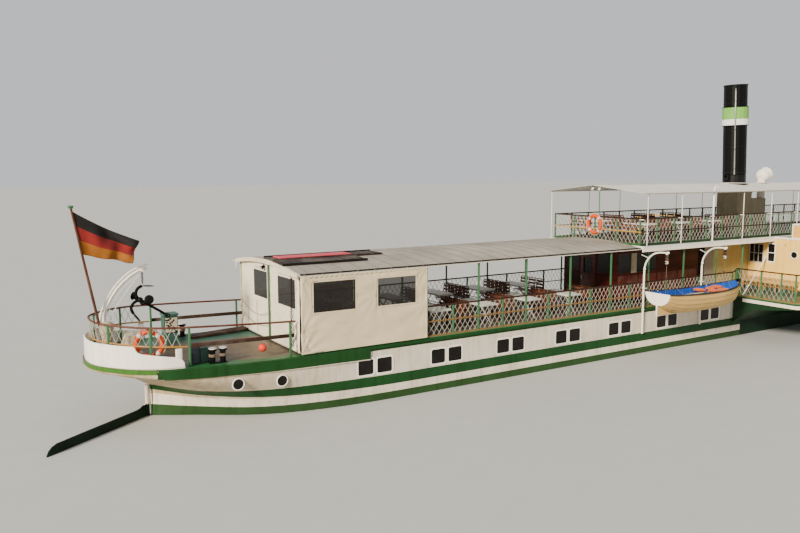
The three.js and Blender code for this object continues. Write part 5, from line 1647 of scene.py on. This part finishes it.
def sternDetails():
    caps = []
    for x in (-2.560, -2.530):
        for y in (-0.200, 0.200):
            caps += [rodIn("frameWhite", (x, y, 0.3071), (x, y, 0.3092), 0.0118, 20),
                     ringIn("ropeDark", (x, y, 0.2900), (0, 0, 1), 0.0086, 0.0022, 20, 6),
                     ringIn("ropeDark", (x, y, 0.2860), (0.1, 0, 1), 0.0086, 0.0022, 20, 6)]
    joined(caps, "bollardCaps", smooth=True)
    joined([boxIn("slate", (-2.617, -0.195, 0.2705), (-2.594, -0.165, 0.322), 0.0015),
            boxIn("darkPane", (-2.6176, -0.190, 0.2965), (-2.6165, -0.170, 0.3035)),
            boxIn("slate", (-2.619, -0.197, 0.3205), (-2.592, -0.163, 0.3235), 0.0008)], "sternLocker")
    x, y = -2.414, -0.206
    joined([ballIn("fenderRed", (x, y, 0.294), 0.0122, segments=24, rings=16),
            ringIn("fenderRed", (x, y, 0.3045), (0, 1, 0), 0.0028, 0.0010, 14, 6),
            rodIn("fenderRed", (x, y, 0.299), (x, y, 0.3035), 0.0040, 12, 0.0026),
            rodIn("rope", (x, y, 0.306), (x, -0.2155, 0.3285), 0.0008, 6)], "fenderBall", smooth=True)
    x, y = -2.806, 0.009
    arm = [(-0.0125, 0.345), (-0.011, 0.390), (0.006, 0.432), (0.027, 0.4655), (0.051, 0.4915), (0.083, 0.5155),
           (0.1245, 0.5305)]
    upper = addTube([(x + u + 0.004, y, z + 0.0015) for u, z in arm], 0.0028, 1)
    lower = addTube([(x, y, 0.372), (-2.779, y, 0.424), (-2.748, y, 0.466), (-2.700, y, 0.506)], 0.0011, 1)
    side = addTube([(x, y, 0.340), (-2.777, y, 0.400), (-2.742, y, 0.452), (-2.700, y, 0.504)], 0.0009, 1)
    foot = [addRod((x, y, 0.2722), (x, y, 0.2800), 0.0125, 20, 0.0095),
            addRing((x, y, 0.352), (0, 0, 1), 0.0080, 0.0020, 20, 8),
            addBall((-2.6935, y, 0.5135), 0.0036, segments=12, rings=8),
            addRod((-2.6935, 0.0025, 0.5150), (-2.6935, 0.0155, 0.5150), 0.0042, 14)]
    joined([upper, lower, side, *foot], "anchorDavitBars", "white", "anchor_davit", smooth=True)
    drop = chainLinks([(-2.693, y, 0.5120), (-2.693, y, 0.4720)], 0.0052, 0.0026, 0.0009)
    joined(drop, "anchorChain", body="anchor_davit", smooth=True)


sternDetails()


# Canvas bundle folded beside the flagpole, slumped over the deck.
def foldedBundle():
    clearSelection()
    bpy.ops.mesh.primitive_cube_add(size=1, location=(-2.764, -0.100, 0.316), scale=(0.050, 0.052, 0.086))
    piece = settle()
    with editing():
        bpy.ops.mesh.subdivide(number_cuts=13)
    for vertex in piece.data.vertices:
        x, y, z = vertex.co.x + 2.764, vertex.co.y + 0.100, (vertex.co.z - 0.273) / 0.086
        round_ = 1 - 0.30 * (abs(x) / 0.025) ** 4 * (abs(y) / 0.026) ** 4
        ripple = 0.0016 * math.sin(z * 34 + y * 120) + 0.0010 * math.sin(x * 260 + z * 9)
        taper = (0.95 - 0.36 * z ** 1.6) * round_
        vertex.co.x = -2.764 + x * taper + ripple + 0.006 * z * z
        vertex.co.y = -0.100 + y * taper + ripple * 0.8 - 0.005 * z
        if z > 0.98:
            vertex.co.z -= 0.010 * ((x / 0.025) ** 2 + (y / 0.026) ** 2) * 0.5
    soften(piece)
    bpy.ops.object.shade_smooth()
    named("foldedBundle", "bundleCloth")


foldedBundle()

# Canvas gear: a chain down the starboard corner, slack lines across the stern, lashings, a lamp and hooks.
lashSet = {"sideFrom": -2.302, "sidePitch": 0.0168, "sideCount": 26, "endFrom": -0.222, "endPitch": 0.0212,
           "endCount": 22, "wire": 0.0008}


def canvasGear():
    links = chainLinks([(-2.3165, -0.196, 0.4920), (-2.3175, -0.194, 0.372), (-2.3170, -0.190, 0.2760)], 0.0062,
                       0.0028, 0.0009)
    joined(links, "cornerChain", smooth=True)
    lines = []
    for start, end, sag in (((-2.3160, 0.232, 0.372), (-2.3185, -0.014, 0.356), 0.026),
                            ((-2.3160, 0.232, 0.335), (-2.3185, -0.014, 0.318), 0.022),
                            ((-2.3150, 0.170, 0.3850), (-2.3150, 0.166, 0.2800), 0.0),
                            ((-2.3150, 0.090, 0.3800), (-2.3150, 0.086, 0.2800), 0.0)):
        lines.append(addTube(hanging(start, end, sag, 10), 0.0007, 1))
    joined(lines, "sternCanvasLines", "ropeDark")
    look = lashSet
    lashes = []
    for s in (-1, 1):
        for i in range(look["sideCount"]):
            x = look["sideFrom"] + i * look["sidePitch"]
            lashes.append((Vector((x, s * 0.2502, 0.4905)), Vector((x + 0.0095, s * 0.2508, 0.4955))))
    for i in range(look["endCount"]):
        y = look["endFrom"] + i * look["endPitch"]
        z = underRoof(y) - 0.0012
        lashes.append((Vector((-2.3118, y, z - 0.005)), Vector((-2.3120, y + 0.009, z))))
    joined(wires(lashes, look["wire"]), "canvasLashings", "rope")
    y = 0.022
    joined([rodIn("black", (-2.3160, y, 0.5030), (-2.3160, y, 0.5160), 0.0016, 8),
            rodIn("black", (-2.3235, y, 0.4945), (-2.3120, y, 0.5010), 0.0062, 16, 0.0042),
            rodIn("pale", (-2.3246, y, 0.4939), (-2.3234, y, 0.4946), 0.0052, 16)], "roofLamp", smooth=True)
    hooks = []
    for y in (-0.2450, 0.2540):
        hooks += [addBox((-2.3240, y - 0.0013, 0.4730), (-2.3214, y + 0.0013, 0.4990), 0.0005),
                  addBox((-2.3360, y - 0.0013, 0.4965), (-2.3120, y + 0.0013, 0.4992), 0.0005)]
    joined(hooks, "awningHooks", "frameWhite")


canvasGear()

# Roof: two stowed gangways, a red strip laid on one of them, and clips on the drip edge.
gangwaySet = {"near": {"xs": (-2.322, -2.030), "ys": (-0.0385, 0.0385), "low": 0.0, "top": 0.0045,
                       "edge": (-0.0400, -0.0365, 0, 0.0085),
                       "cleats": (10, -2.310, -0.0360, 0.0385, 0.0040, 0.0056)},
              "far": {"xs": (-2.312, -1.925), "ys": (-0.060, 0.026), "low": 0.5238, "top": 0.5285,
                      "edge": (0.023, 0.028, 0.5236, 0.5325),
                      "cleats": (13, -2.304, -0.0600, 0.0230, 0.5280, 0.5296)}, "cleatPitch": 0.030, "clips": 25,
              "clipX": -2.300}


def gangway(look):
    count, first, *cleat = look["cleats"]
    edge = look["edge"]
    pieces = [boxOf("gangway", look["xs"], look["ys"], (look["low"], look["top"]), 0.0008),
              boxOf("gutter", look["xs"], edge[:2], edge[2:], 0.0008)]
    for i in range(count):
        x = first + i * gangwaySet["cleatPitch"]
        pieces.append(boxOf("gangway", (x, x + 0.004), cleat[:2], cleat[2:]))
    return pieces


def roofGear():
    look = gangwaySet
    near = moved(gangway(look["near"]), turned((0, -0.1065, 0.5192), 4.2, "X"))
    strip = boxIn("pinkStrip", (-2.292, -0.056, 0.5292), (-2.042, 0.002, 0.5330), 0.0012)
    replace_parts(joined([*near, *gangway(look["far"]), strip], "stowedGangways"), "gangplank")
    clips = []
    for s in (-1, 1):
        for i in range(look["clips"]):
            x = look["clipX"] + i * roofSet["pitch"]
            clips.append(boxOf("seam", about(x, 0.0014), about(s * 0.2515, 0.0016), (0.4995, 0.5062), 0.0004))
    joined(clips, "roofClips")


finishes["pinkStrip"] = paint("redStrip", "#c4505a", rough=0.6, wear=0.25, streak=0.2)
roofGear()
print("stern and roof gear")

# Upper deck: brackets from the awning posts to the rail, lamps, the hooked pipe, funnel fittings, casing doors.
def upperDetails():
    brackets = []
    for x in hoopXs:
        for s in (-1, 1):
            at = poleSet["cornerX"] if x == hoopXs[0] and s < 0 else x
            brackets += [addRod((at, s * 0.2515, 0.6115), (at, s * 0.2352, 0.6115), 0.0016, 8),
                         addRing((at, s * 0.2520, 0.6115), (0, 0, 1), 0.0042, 0.0012, 14, 6)]
    brackets.append(addRod((-0.8495, 0, 0.6115), (-0.8710, 0, 0.6115), 0.0014, 8))
    joined(brackets, "awningBrackets", "white", smooth=True)
    lamps = []
    for y in (0.006, -0.031):
        lamps += [rodIn("black", (-0.878, y, 0.737), (-0.885, y, 0.728), 0.0014, 8),
                  rodIn("frameWhite", (-0.8875, y, 0.7235), (-0.8800, y, 0.7300), 0.0058, 16, 0.0034)]
    joined(lamps, "awningLamps", smooth=True)
    pipe = addTube([(-0.447, -0.2490, 0.5100), (-0.447, -0.2490, 0.6000), (-0.447, -0.2490, 0.7150),
                    (-0.441, -0.2490, 0.7330), (-0.428, -0.2490, 0.7360), (-0.420, -0.2490, 0.7280)], 0.0026, 2)
    joined([pipe, addRod((-0.447, -0.2490, 0.5100), (-0.447, -0.2490, 0.5130), 0.0052, 14)], "hookedPipe", "white",
           smooth=True)
    look = funnelLook
    lean = turned(look["hinge"], -look["rake"], "Y")
    angle = math.radians(215)
    out = Vector((math.cos(angle), math.sin(angle), 0))
    points = [out * 0.0560 + Vector((0, 0, 0.004)), out * 0.0560 + Vector((0, 0, 0.218)),
              out * 0.0625 + Vector((0, 0, 0.232)), out * 0.0625 + Vector((0, 0, 0.311)),
              out * 0.0560 + Vector((0, 0, 0.326)), out * 0.0560 + Vector((0, 0, 0.398))]
    steam = tubeIn("pipeGrey", points, 0.0030, 1, smooth=False)
    whistle = rodIn("funnelTrim", out * 0.0560 + Vector((0, 0, 0.396)), out * 0.0560 + Vector((0, 0, 0.4140)),
                    0.0042, 16)
    rings = [ringIn("funnelTrim", (0, 0, z), (0, 0, 1), 0.0522, minor, 48, 8)
             for z, minor in ((0.4128, 0.0026), (0.330, 0.0010), (0.130, 0.0012), (0.012, 0.0020))]
    straps = [ringIn("funnelTrim", out * 0.0560 + Vector((0, 0, z)), (0, 0, 1), 0.0038, 0.0010, 14, 6)
              for z in (0.03, 0.12, 0.21, 0.34, 0.39)]
    pieces = [steam, whistle, *rings, *straps]
    joined(moved(pieces, lean), "funnelFittings", body="funnel", smooth=True)
    casing = []
    for s in (-1, 1):
        casing += [boxOf("casing", (0.008, 0.090), about(s * 0.0554, 0.0006), (0.560, 0.680), 0.0004),
                   rodIn("pale", (0.0145, s * 0.0565, 0.570), (0.0145, s * 0.0565, 0.576), 0.0018, 8),
                   boxOf("casing", (-0.006, 0.104), about(s * 0.0560, 0.0012), (0.6965, 0.7030), 0.0006)]
        casing += [rodIn("pale", (x, s * 0.0552, z), (x, s * 0.0568, z), 0.0012, 6) for x in (0.012, 0.049, 0.086)
                   for z in (0.565, 0.675)]
    joined(casing, "casingDoors")


finishes["pipeGrey"] = paint("steamPipe", "#8f8f88", rough=0.45, metal=0.3)
finishes["funnelTrim"] = paint("funnelTrim", "#151516", rough=0.4)
upperDetails()
print("upper deck details")

# Hull: sections are rounded off and laid along smooth lines, with the strakes of the deck edge over them.
hullLines = {
    "counter": (
        (-2.8608, 0.250, 0.001, 0.250, 0.002, 0.2505, 0.003, 0.251, 0.004, 0.256, 0.005, 0.272),
        (-2.8600, 0.250, 0.0018, 0.250, 0.0044, 0.2505, 0.011, 0.251, 0.0202, 0.256, 0.022, 0.272),
        (-2.8570, 0.2498, 0.004, 0.2498, 0.0096, 0.2503, 0.0243, 0.2508, 0.0441, 0.2559, 0.048, 0.272),
        (-2.8500, 0.248, 0.005, 0.248, 0.012, 0.2486, 0.0329, 0.2496, 0.0678, 0.2554, 0.073, 0.272),
        (-2.8380, 0.245, 0.005, 0.245, 0.012, 0.2459, 0.0371, 0.2474, 0.0921, 0.2546, 0.098, 0.272),
        (-2.8180, 0.2387, 0.005, 0.2387, 0.012, 0.2397, 0.040, 0.2424, 0.1203, 0.253, 0.127, 0.2718),
        (-2.7950, 0.2304, 0.005, 0.2304, 0.012, 0.2314, 0.040, 0.2355, 0.1474, 0.2512, 0.155, 0.2713),
        (-2.7650, 0.2184, 0.005, 0.2184, 0.012, 0.2194, 0.034, 0.2235, 0.1745, 0.2485, 0.182, 0.2707),
        (-2.7300, 0.203, 0.005, 0.203, 0.012, 0.204, 0.020, 0.206, 0.198, 0.245, 0.204, 0.270),
        (-2.6870, 0.176, 0.005, 0.176, 0.010, 0.177, 0.013, 0.180, 0.214, 0.239, 0.220, 0.269)),
    "body": (
        (-2.6840, 0.0, 0.006, 0.0, 0.008, 0.085, 0.014, 0.178, 0.215, 0.238, 0.221, 0.269),
        (-2.5800, 0.0, 0.015, 0.0, 0.072, 0.088, 0.112, 0.155, 0.228, 0.217, 0.234, 0.267),
        (-2.4100, 0.0, 0.060, 0.0, 0.165, 0.075, 0.205, 0.145, 0.241, 0.205, 0.243, 0.263),
        (-2.1600, 0.0, 0.130, 0.0, 0.215, 0.045, 0.240, 0.135, 0.244, 0.205, 0.244, 0.263),
        (-1.8100, 0.0, 0.210, 0.0, 0.236, 0.025, 0.244, 0.135, 0.244, 0.205, 0.244, 0.263),
        (-1.4100, 0.0, 0.225, 0.0, 0.242, 0.020, 0.244, 0.135, 0.244, 0.205, 0.244, 0.263),
        (1.3000, 0.0, 0.225, 0.0, 0.242, 0.020, 0.244, 0.135, 0.244, 0.205, 0.244, 0.263),
        (1.6900, 0.0, 0.200, 0.0, 0.230, 0.025, 0.242, 0.135, 0.244, 0.205, 0.244, 0.263),
        (2.0900, 0.0, 0.120, 0.0, 0.175, 0.035, 0.208, 0.145, 0.230, 0.210, 0.238, 0.269),
        (2.3900, 0.0, 0.055, 0.0, 0.095, 0.035, 0.132, 0.145, 0.178, 0.215, 0.196, 0.279),
        (2.6400, 0.0, 0.016, 0.0, 0.036, 0.045, 0.066, 0.155, 0.100, 0.225, 0.120, 0.290),
        (2.7900, 0.004, 0.005, 0.004, 0.009, 0.055, 0.019, 0.155, 0.040, 0.235, 0.050, 0.297),
        (2.8580, 0.012, 0.003, 0.012, 0.004, 0.065, 0.005, 0.155, 0.007, 0.235, 0.009, 0.303)),
    "wells": (((0.090, -0.130, 0.025), (0.600, 0.130, 0.400)), ((-0.390, -0.140, 0.025), (0.040, 0.140, 0.400))),
}


def throughPoints(points, cuts):
    made = []
    for i in range(len(points) - 1):
        p0, p1, p2, p3 = (Vector(points[min(max(i + k, 0), len(points) - 1)]) for k in (-1, 0, 1, 2))
        span = (p2 - p1).length
        before, after = (p2 - p0) * (span / (span + (p1 - p0).length)), (p3 - p1) * (span / (span + (p3 - p2).length))
        for k in range(cuts):
            t = k / cuts
            made.append(p1 * (2 * t ** 3 - 3 * t ** 2 + 1) + before * (t ** 3 - 2 * t ** 2 + t)
                        + p2 * (3 * t ** 2 - 2 * t ** 3) + after * (t ** 3 - t ** 2))
    return made + [Vector(points[-1])]


def skinRings(rings):
    rows, around = len(rings), len(rings[0])
    clearSelection()
    bpy.ops.mesh.primitive_grid_add(x_subdivisions=rows - 1, y_subdivisions=around, size=2)
    piece = bpy.context.object
    for vertex in piece.data.vertices:
        i, j = round((vertex.co.x + 1) / 2 * (rows - 1)), round((vertex.co.y + 1) / 2 * around) % around
        vertex.co = rings[i][j]
    with editing():
        bpy.ops.mesh.remove_doubles(threshold=0.00001)
        bpy.ops.mesh.fill_holes(sides=0)
        bpy.ops.mesh.select_all(action="SELECT")
        bpy.ops.mesh.normals_make_consistent(inside=False)
    return piece


hullRows = [Vector(row) for row in hullLines["counter"]] + throughPoints(hullLines["body"], 4)
rimPoints = [(row[0], row[10], row[11]) for row in hullLines["counter"] + hullLines["body"][1:6]]


def rimAt(x):
    for a, b in zip(hullRows, hullRows[1:]):
        if a[0] <= x <= b[0]:
            t = (x - a[0]) / max(b[0] - a[0], 1e-9)
            return a[10] + (b[10] - a[10]) * t, a[11] + (b[11] - a[11]) * t
    return hullRows[-1][10], hullRows[-1][11]


# The deck edge from one side round the stern to the other, each point with its inward direction.
def sternPath(foreX, cuts=6):
    side = [p for p in throughPoints(rimPoints, cuts) if p.x <= foreX]
    side.append(Vector((foreX, *rimAt(foreX))))
    line = [Vector((p.x, -p.y, p.z)) for p in reversed(side)] + side
    path = []
    for i, point in enumerate(line):
        run = line[min(i + 1, len(line) - 1)] - line[max(i - 1, 0)]
        inward = Vector((-run.y, run.x, 0)).normalized()
        isInward = inward.dot(Vector((-2.4, 0, 0)) - Vector((point.x, point.y, 0))) > 0
        path.append((point, inward if isInward else -inward))
    return path


def sweptStrip(path, outer, inner, low, high):
    rings = []
    for point, inward in path:
        bottom, top = (value(point.x) if callable(value) else point.z + value for value in (low, high))
        corners = ((outer, bottom), (outer, top), (inner, top), (inner, bottom))
        rings.append([(point + inward * d).xy.to_3d() + Vector((0, 0, z)) for d, z in corners])
    return skinRings(rings)


def beltFoot(x):
    return rimAt(x)[1] - (0.008 if x < -2.710 else 0.0290 + 0.0218 * (x + 2.65))


def addHull():
    rings = []
    for row in hullRows:
        side = throughPoints([(row[i], row[i + 1]) for i in (2, 4, 6, 8, 10)], 4)
        rings.append([Vector((row[0], 0, row[1]))] + [Vector((row[0], -y, z)) for y, z in side]
                     + [Vector((row[0], y, z)) for y, z in reversed(side)])
    hull = skinRings(rings)
    cutters = [addBox(*well) for well in hullLines["wells"]]
    cutters.append(addRod((0.510, -0.32, 0.210), (0.510, 0.32, 0.210), 0.0124, 24))
    cutOut(hull, cutters)
    strips = []
    for s in (-1, 1):
        for start, end, outer, depth in ((-2.714, -2.080, -0.005, 0.0), (-2.080, 2.800, -0.004, 0.0095)):
            extra = [start + 0.016] if start < -2.5 else []
            xs = [start, *extra, *(row[0] for row in hullRows if start < row[0] < end), end]
            path = [(Vector((x, s * rimAt(x)[0], rimAt(x)[1])), Vector((0, -s, 0))) for x in xs]
            strips.append(sweptStrip(path, outer, 0.008, -depth if depth else beltFoot, -0.0015))
    moulding = sweptStrip(sternPath(-2.7155), -0.0022, 0.002, -0.0118, 0.0006)
    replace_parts(joined([hull, *strips, moulding], "hullShell", "hull", smooth=True), "hull")


addHull()

# Stern bulwark with its scooped ends, the rail over it on posts, and planks along the lower bars.
sternSides = {"bulwark": ((-2.90, 0.333), (-2.84, 0.3325), (-2.768, 0.331), (-2.766, 0.322), (-2.761, 0.315),
                          (-2.754, 0.311), (-2.739, 0.3085), (-2.720, 0.306), (-2.693, 0.302), (-2.667, 0.298),
                          (-2.656, 0.295), (-2.650, 0.290), (-2.646, 0.283), (-2.644, 0.2735)),
              "posts": (-2.815, -2.724, -2.626, -2.336), "railInset": 0.018, "fore": -2.319}


def bulwarkTop(x):
    marks = sternSides["bulwark"]
    for (a, low), (b, high) in zip(marks, marks[1:]):
        if a <= x <= b:
            return low + (high - low) * (x - a) / (b - a)
    return marks[-1][1] if x > marks[-1][0] else marks[0][1]


def barHeight(x, top):
    return 0.377 + 0.042 * (-2.623 - x) if top else 0.324 + 0.0648 * max(-2.629 - x, 0)


def sternRailing():
    look = sternSides
    path = sternPath(look["fore"])
    line = [point + inward * look["railInset"] for point, inward in path]
    top = tubeIn("railTop", [Vector((p.x, p.y, barHeight(p.x, True))) for p in line], 0.0030, 2, smooth=False)
    bar = tubeIn("railBar", [Vector((p.x, p.y, barHeight(p.x, False))) for p in line if p.x < -2.622], 0.0023, 2,
                 smooth=False)
    pieces = [top, bar]
    for s in (-1, 1):
        for x in look["posts"]:
            near = min((p for p in line if p.y * s > 0), key=lambda p: abs(p.x - x))
            y, foot = near.y, rimAt(x)[1]
            pieces.append(boxOf("green", about(x, 0.0030), about(y, 0.0030), (foot, barHeight(x, True) - 0.001),
                                0.0008))
        plank = addBox((-2.6225, s * 0.2165 - 0.0022, 0.3185), (-2.319, s * 0.2165 + 0.0022, 0.3295), 0.0008)
        plank.data.transform(turned((-2.47, 0, 0.324), 1.1, "Y") @ Matrix.Translation((2.47, 0, -0.324)))
        pieces += [painted(plank, "railPlank"),
                   boxOf("white", (-2.665, -2.648), about(s * 0.2130, 0.003), (0.2690, 0.3220), 0.001)]
    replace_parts(joined(pieces, "sternRailing", smooth=True), "stern_rail")
    wall = sweptStrip(sternPath(-2.6435, 16), 0.0030, 0.0075, 0.0004, bulwarkTop)
    edge = [(*(p + n * 0.0052).xy, bulwarkTop(p.x)) for p, n in sternPath(-2.645, 16)]
    cap = addTube(edge, 0.0026, 1, smooth=False)
    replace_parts(joined([wall, cap], "sternBulwark", "bulwark", smooth=True), "stern_bulwark")
    pairs = lattice([(p.x, p.y, 0) for p in line if p.x < -2.632], 0.0, 1.0, 2, 0.0225)
    for a, b in pairs:
        a.z, b.z = (barHeight(p.x, p.z > 0.5) + (-0.002 if p.z > 0.5 else 0.002) for p in (a, b))
    joined(wires(pairs, latticeSet["wire"]), "sternRailLattice", "wire")


finishes["railTop"] = woodwork("railTopWood", "#5c2814", rough=0.5, run=(20, 20, 20))
finishes["railBar"] = woodwork("railBarWood", "#b07c30", rough=0.5, run=(20, 20, 20), contrast=0.35)
finishes["railPlank"] = woodwork("railPlankWood", "#3a2113", rough=0.6, run=(6, 60, 60))
sternRailing()


# Rudder: a thin blade with a rounded end, its stock carried up into the counter.
rudderSet = {"x": -2.696, "turn": 35, "thick": 0.0044, "stock": 0.0062, "stockZs": (0.006, 0.177),
             "straps": (0.030, 0.075),
             "outline": ((0, 0.008), (-0.120, 0.008), (-0.352, 0.030), (-0.366, 0.060), (-0.3655, 0.088),
                         (-0.359, 0.098), (-0.348, 0.106), (-0.332, 0.1105), (-0.250, 0.1115), (-0.045, 0.1125),
                         (-0.030, 0.1145), (-0.021, 0.1190), (-0.012, 0.1225), (0, 0.1230))}


def rudderBlade():
    look = rudderSet
    blade = addPlate(look["outline"], look["thick"], upright, 0.0008)
    stock = addRod(*((0, 0, z) for z in look["stockZs"]), look["stock"], 20)
    straps = [addBox((-0.060, -0.0036, z - 0.004), (0.006, 0.0036, z + 0.004), 0.001) for z in look["straps"]]
    piece = joined([blade, stock, *straps], "rudderBlade", "rudder", "rudder", smooth=True)
    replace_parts(moved([piece], turned((look["x"], 0, 0), look["turn"]))[0], "rudder")


rudderBlade()


# Stern anchor: four bent arms with round palms and a shank, hung from the davit by its chain.
anchorSet = {"crown": (-2.7015, 0.009, 0.4285), "shank": (-2.6270, 0.009, 0.3775), "ring": (-2.6235, 0.009, 0.3745),
             "knob": (-2.6280, 0.009, 0.3780),
             "arms": ((((-2.7120, 0.009, 0.441), (-2.7090, 0.009, 0.460), (-2.6950, 0.009, 0.470)), 0.0046),
                      (((-2.7160, 0.009, 0.424), (-2.7275, 0.009, 0.408), (-2.7225, 0.009, 0.390)), 0.0044),
                      (((-2.7010, -0.006, 0.4200), (-2.6930, -0.021, 0.4240), (-2.6860, -0.024, 0.4330)), 0.0042),
                      (((-2.7030, 0.024, 0.4250), (-2.7080, 0.038, 0.4300), (-2.7120, 0.042, 0.4380)), 0.0042)),
             "palms": (((-2.6780, 0.009, 0.4680), (0.08, 0.05, 1), 0.0185),
                       ((-2.7140, 0.009, 0.3790), (0.82, 0.10, 0.55), 0.0165),
                       ((-2.6845, -0.0255, 0.4330), (-0.23, -0.94, 0.15), 0.0135),
                       ((-2.7130, 0.0425, 0.4370), (-0.55, 0.75, 0.15), 0.0125))}


def sternAnchor():
    def disc(centre, facing, radius):
        plate = addBall((0, 0, 0), radius, (1, 1, 0.11), 20, 10)
        plate.data.transform(facingPlace(centre, facing))
        return plate

    look = anchorSet
    crown = Vector(look["crown"])
    pieces = [addTube([crown, *points], radius, 2) for points, radius in look["arms"]]
    pieces += [disc(*row) for row in look["palms"]]
    pieces += [addRod(crown, look["shank"], 0.0046, 12, 0.0036),
               addBall(crown, 0.0085, segments=16, rings=10),
               addRing(look["ring"], (0.3, 1, 0.2), 0.0052, 0.0019, 20, 8),
               addBall(look["knob"], 0.0052, segments=12, rings=8)]
    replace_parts(joined(pieces, "sternAnchorIron", "black", "anchor_davit", smooth=True), "stern_anchor")


sternAnchor()


# Deck gear at the stern: a box with its lid, two loose planks and the pierced front of the vent locker.
def sternDeckGear():
    boxes = [boxIn("teal", (-2.586, -0.176, 0.2665), (-2.558, -0.140, 0.3060), 0.0015),
             boxIn("teal", (-2.588, -0.178, 0.3050), (-2.556, -0.138, 0.3085), 0.0010)]
    for k, y in enumerate((0.158, 0.181)):
        plank = addBox((-0.105, -0.0105, 0), (0.105, 0.0105, 0.007), 0.0008)
        plank.data.transform(turned((-2.415, y + 0.012, 0.2665 + 0.0002 * k), 12))
        boxes.append(painted(plank, "railPlank"))
    boxes.append(boxIn("pierced", (-2.6045, 0.1155, 0.3010), (-2.5675, 0.1175, 0.3460), 0.0006))
    joined(boxes, "sternDeckGear")


def piercedZones(place):
    spots = node("TexVoronoi", {"Vector": place, "Scale": 130.0}).outputs["Distance"]
    return mixed(above(spots, 0.42), tint("#1a1712"), tint("#d8ccb0"))


finishes["pierced"] = paint("piercedPanel", "#d8ccb0", zones=piercedZones)
sternDeckGear()
print("hull, stern, rudder and anchor")


# The ground is pale and lies at the waterline; the light is soft and comes from astern and starboard.
finishes["floor"] = paint("paleFloor", "#b4b6b2", rough=0.6, wear=0.05, streak=0.0)
clearSelection()
bpy.ops.mesh.primitive_plane_add(size=80, location=(0, 0, waterZ))
floor = bpy.context.object
floor.name = "floor"
floor.data.materials.append(finishes["floor"])
lightSet = {"sunAngle": 10, "sunPower": 7.5, "sunFrom": (-0.84, -0.38, 0.42), "fill": 0.78}
sun = bpy.data.lights.new("sun", "SUN")
sun.energy, sun.angle, sun.color = lightSet["sunPower"], math.radians(lightSet["sunAngle"]), (1, 0.90, 0.76)
linked("sun", sun).rotation_euler = Vector(lightSet["sunFrom"]).to_track_quat("Z", "Y").to_euler()
world = bpy.data.worlds.new("studio")
world.use_nodes = True
world.node_tree.nodes["Background"].inputs[0].default_value = (0.90, 0.91, 0.94, 1)
world.node_tree.nodes["Background"].inputs[1].default_value = lightSet["fill"]
bpy.context.scene.world = world
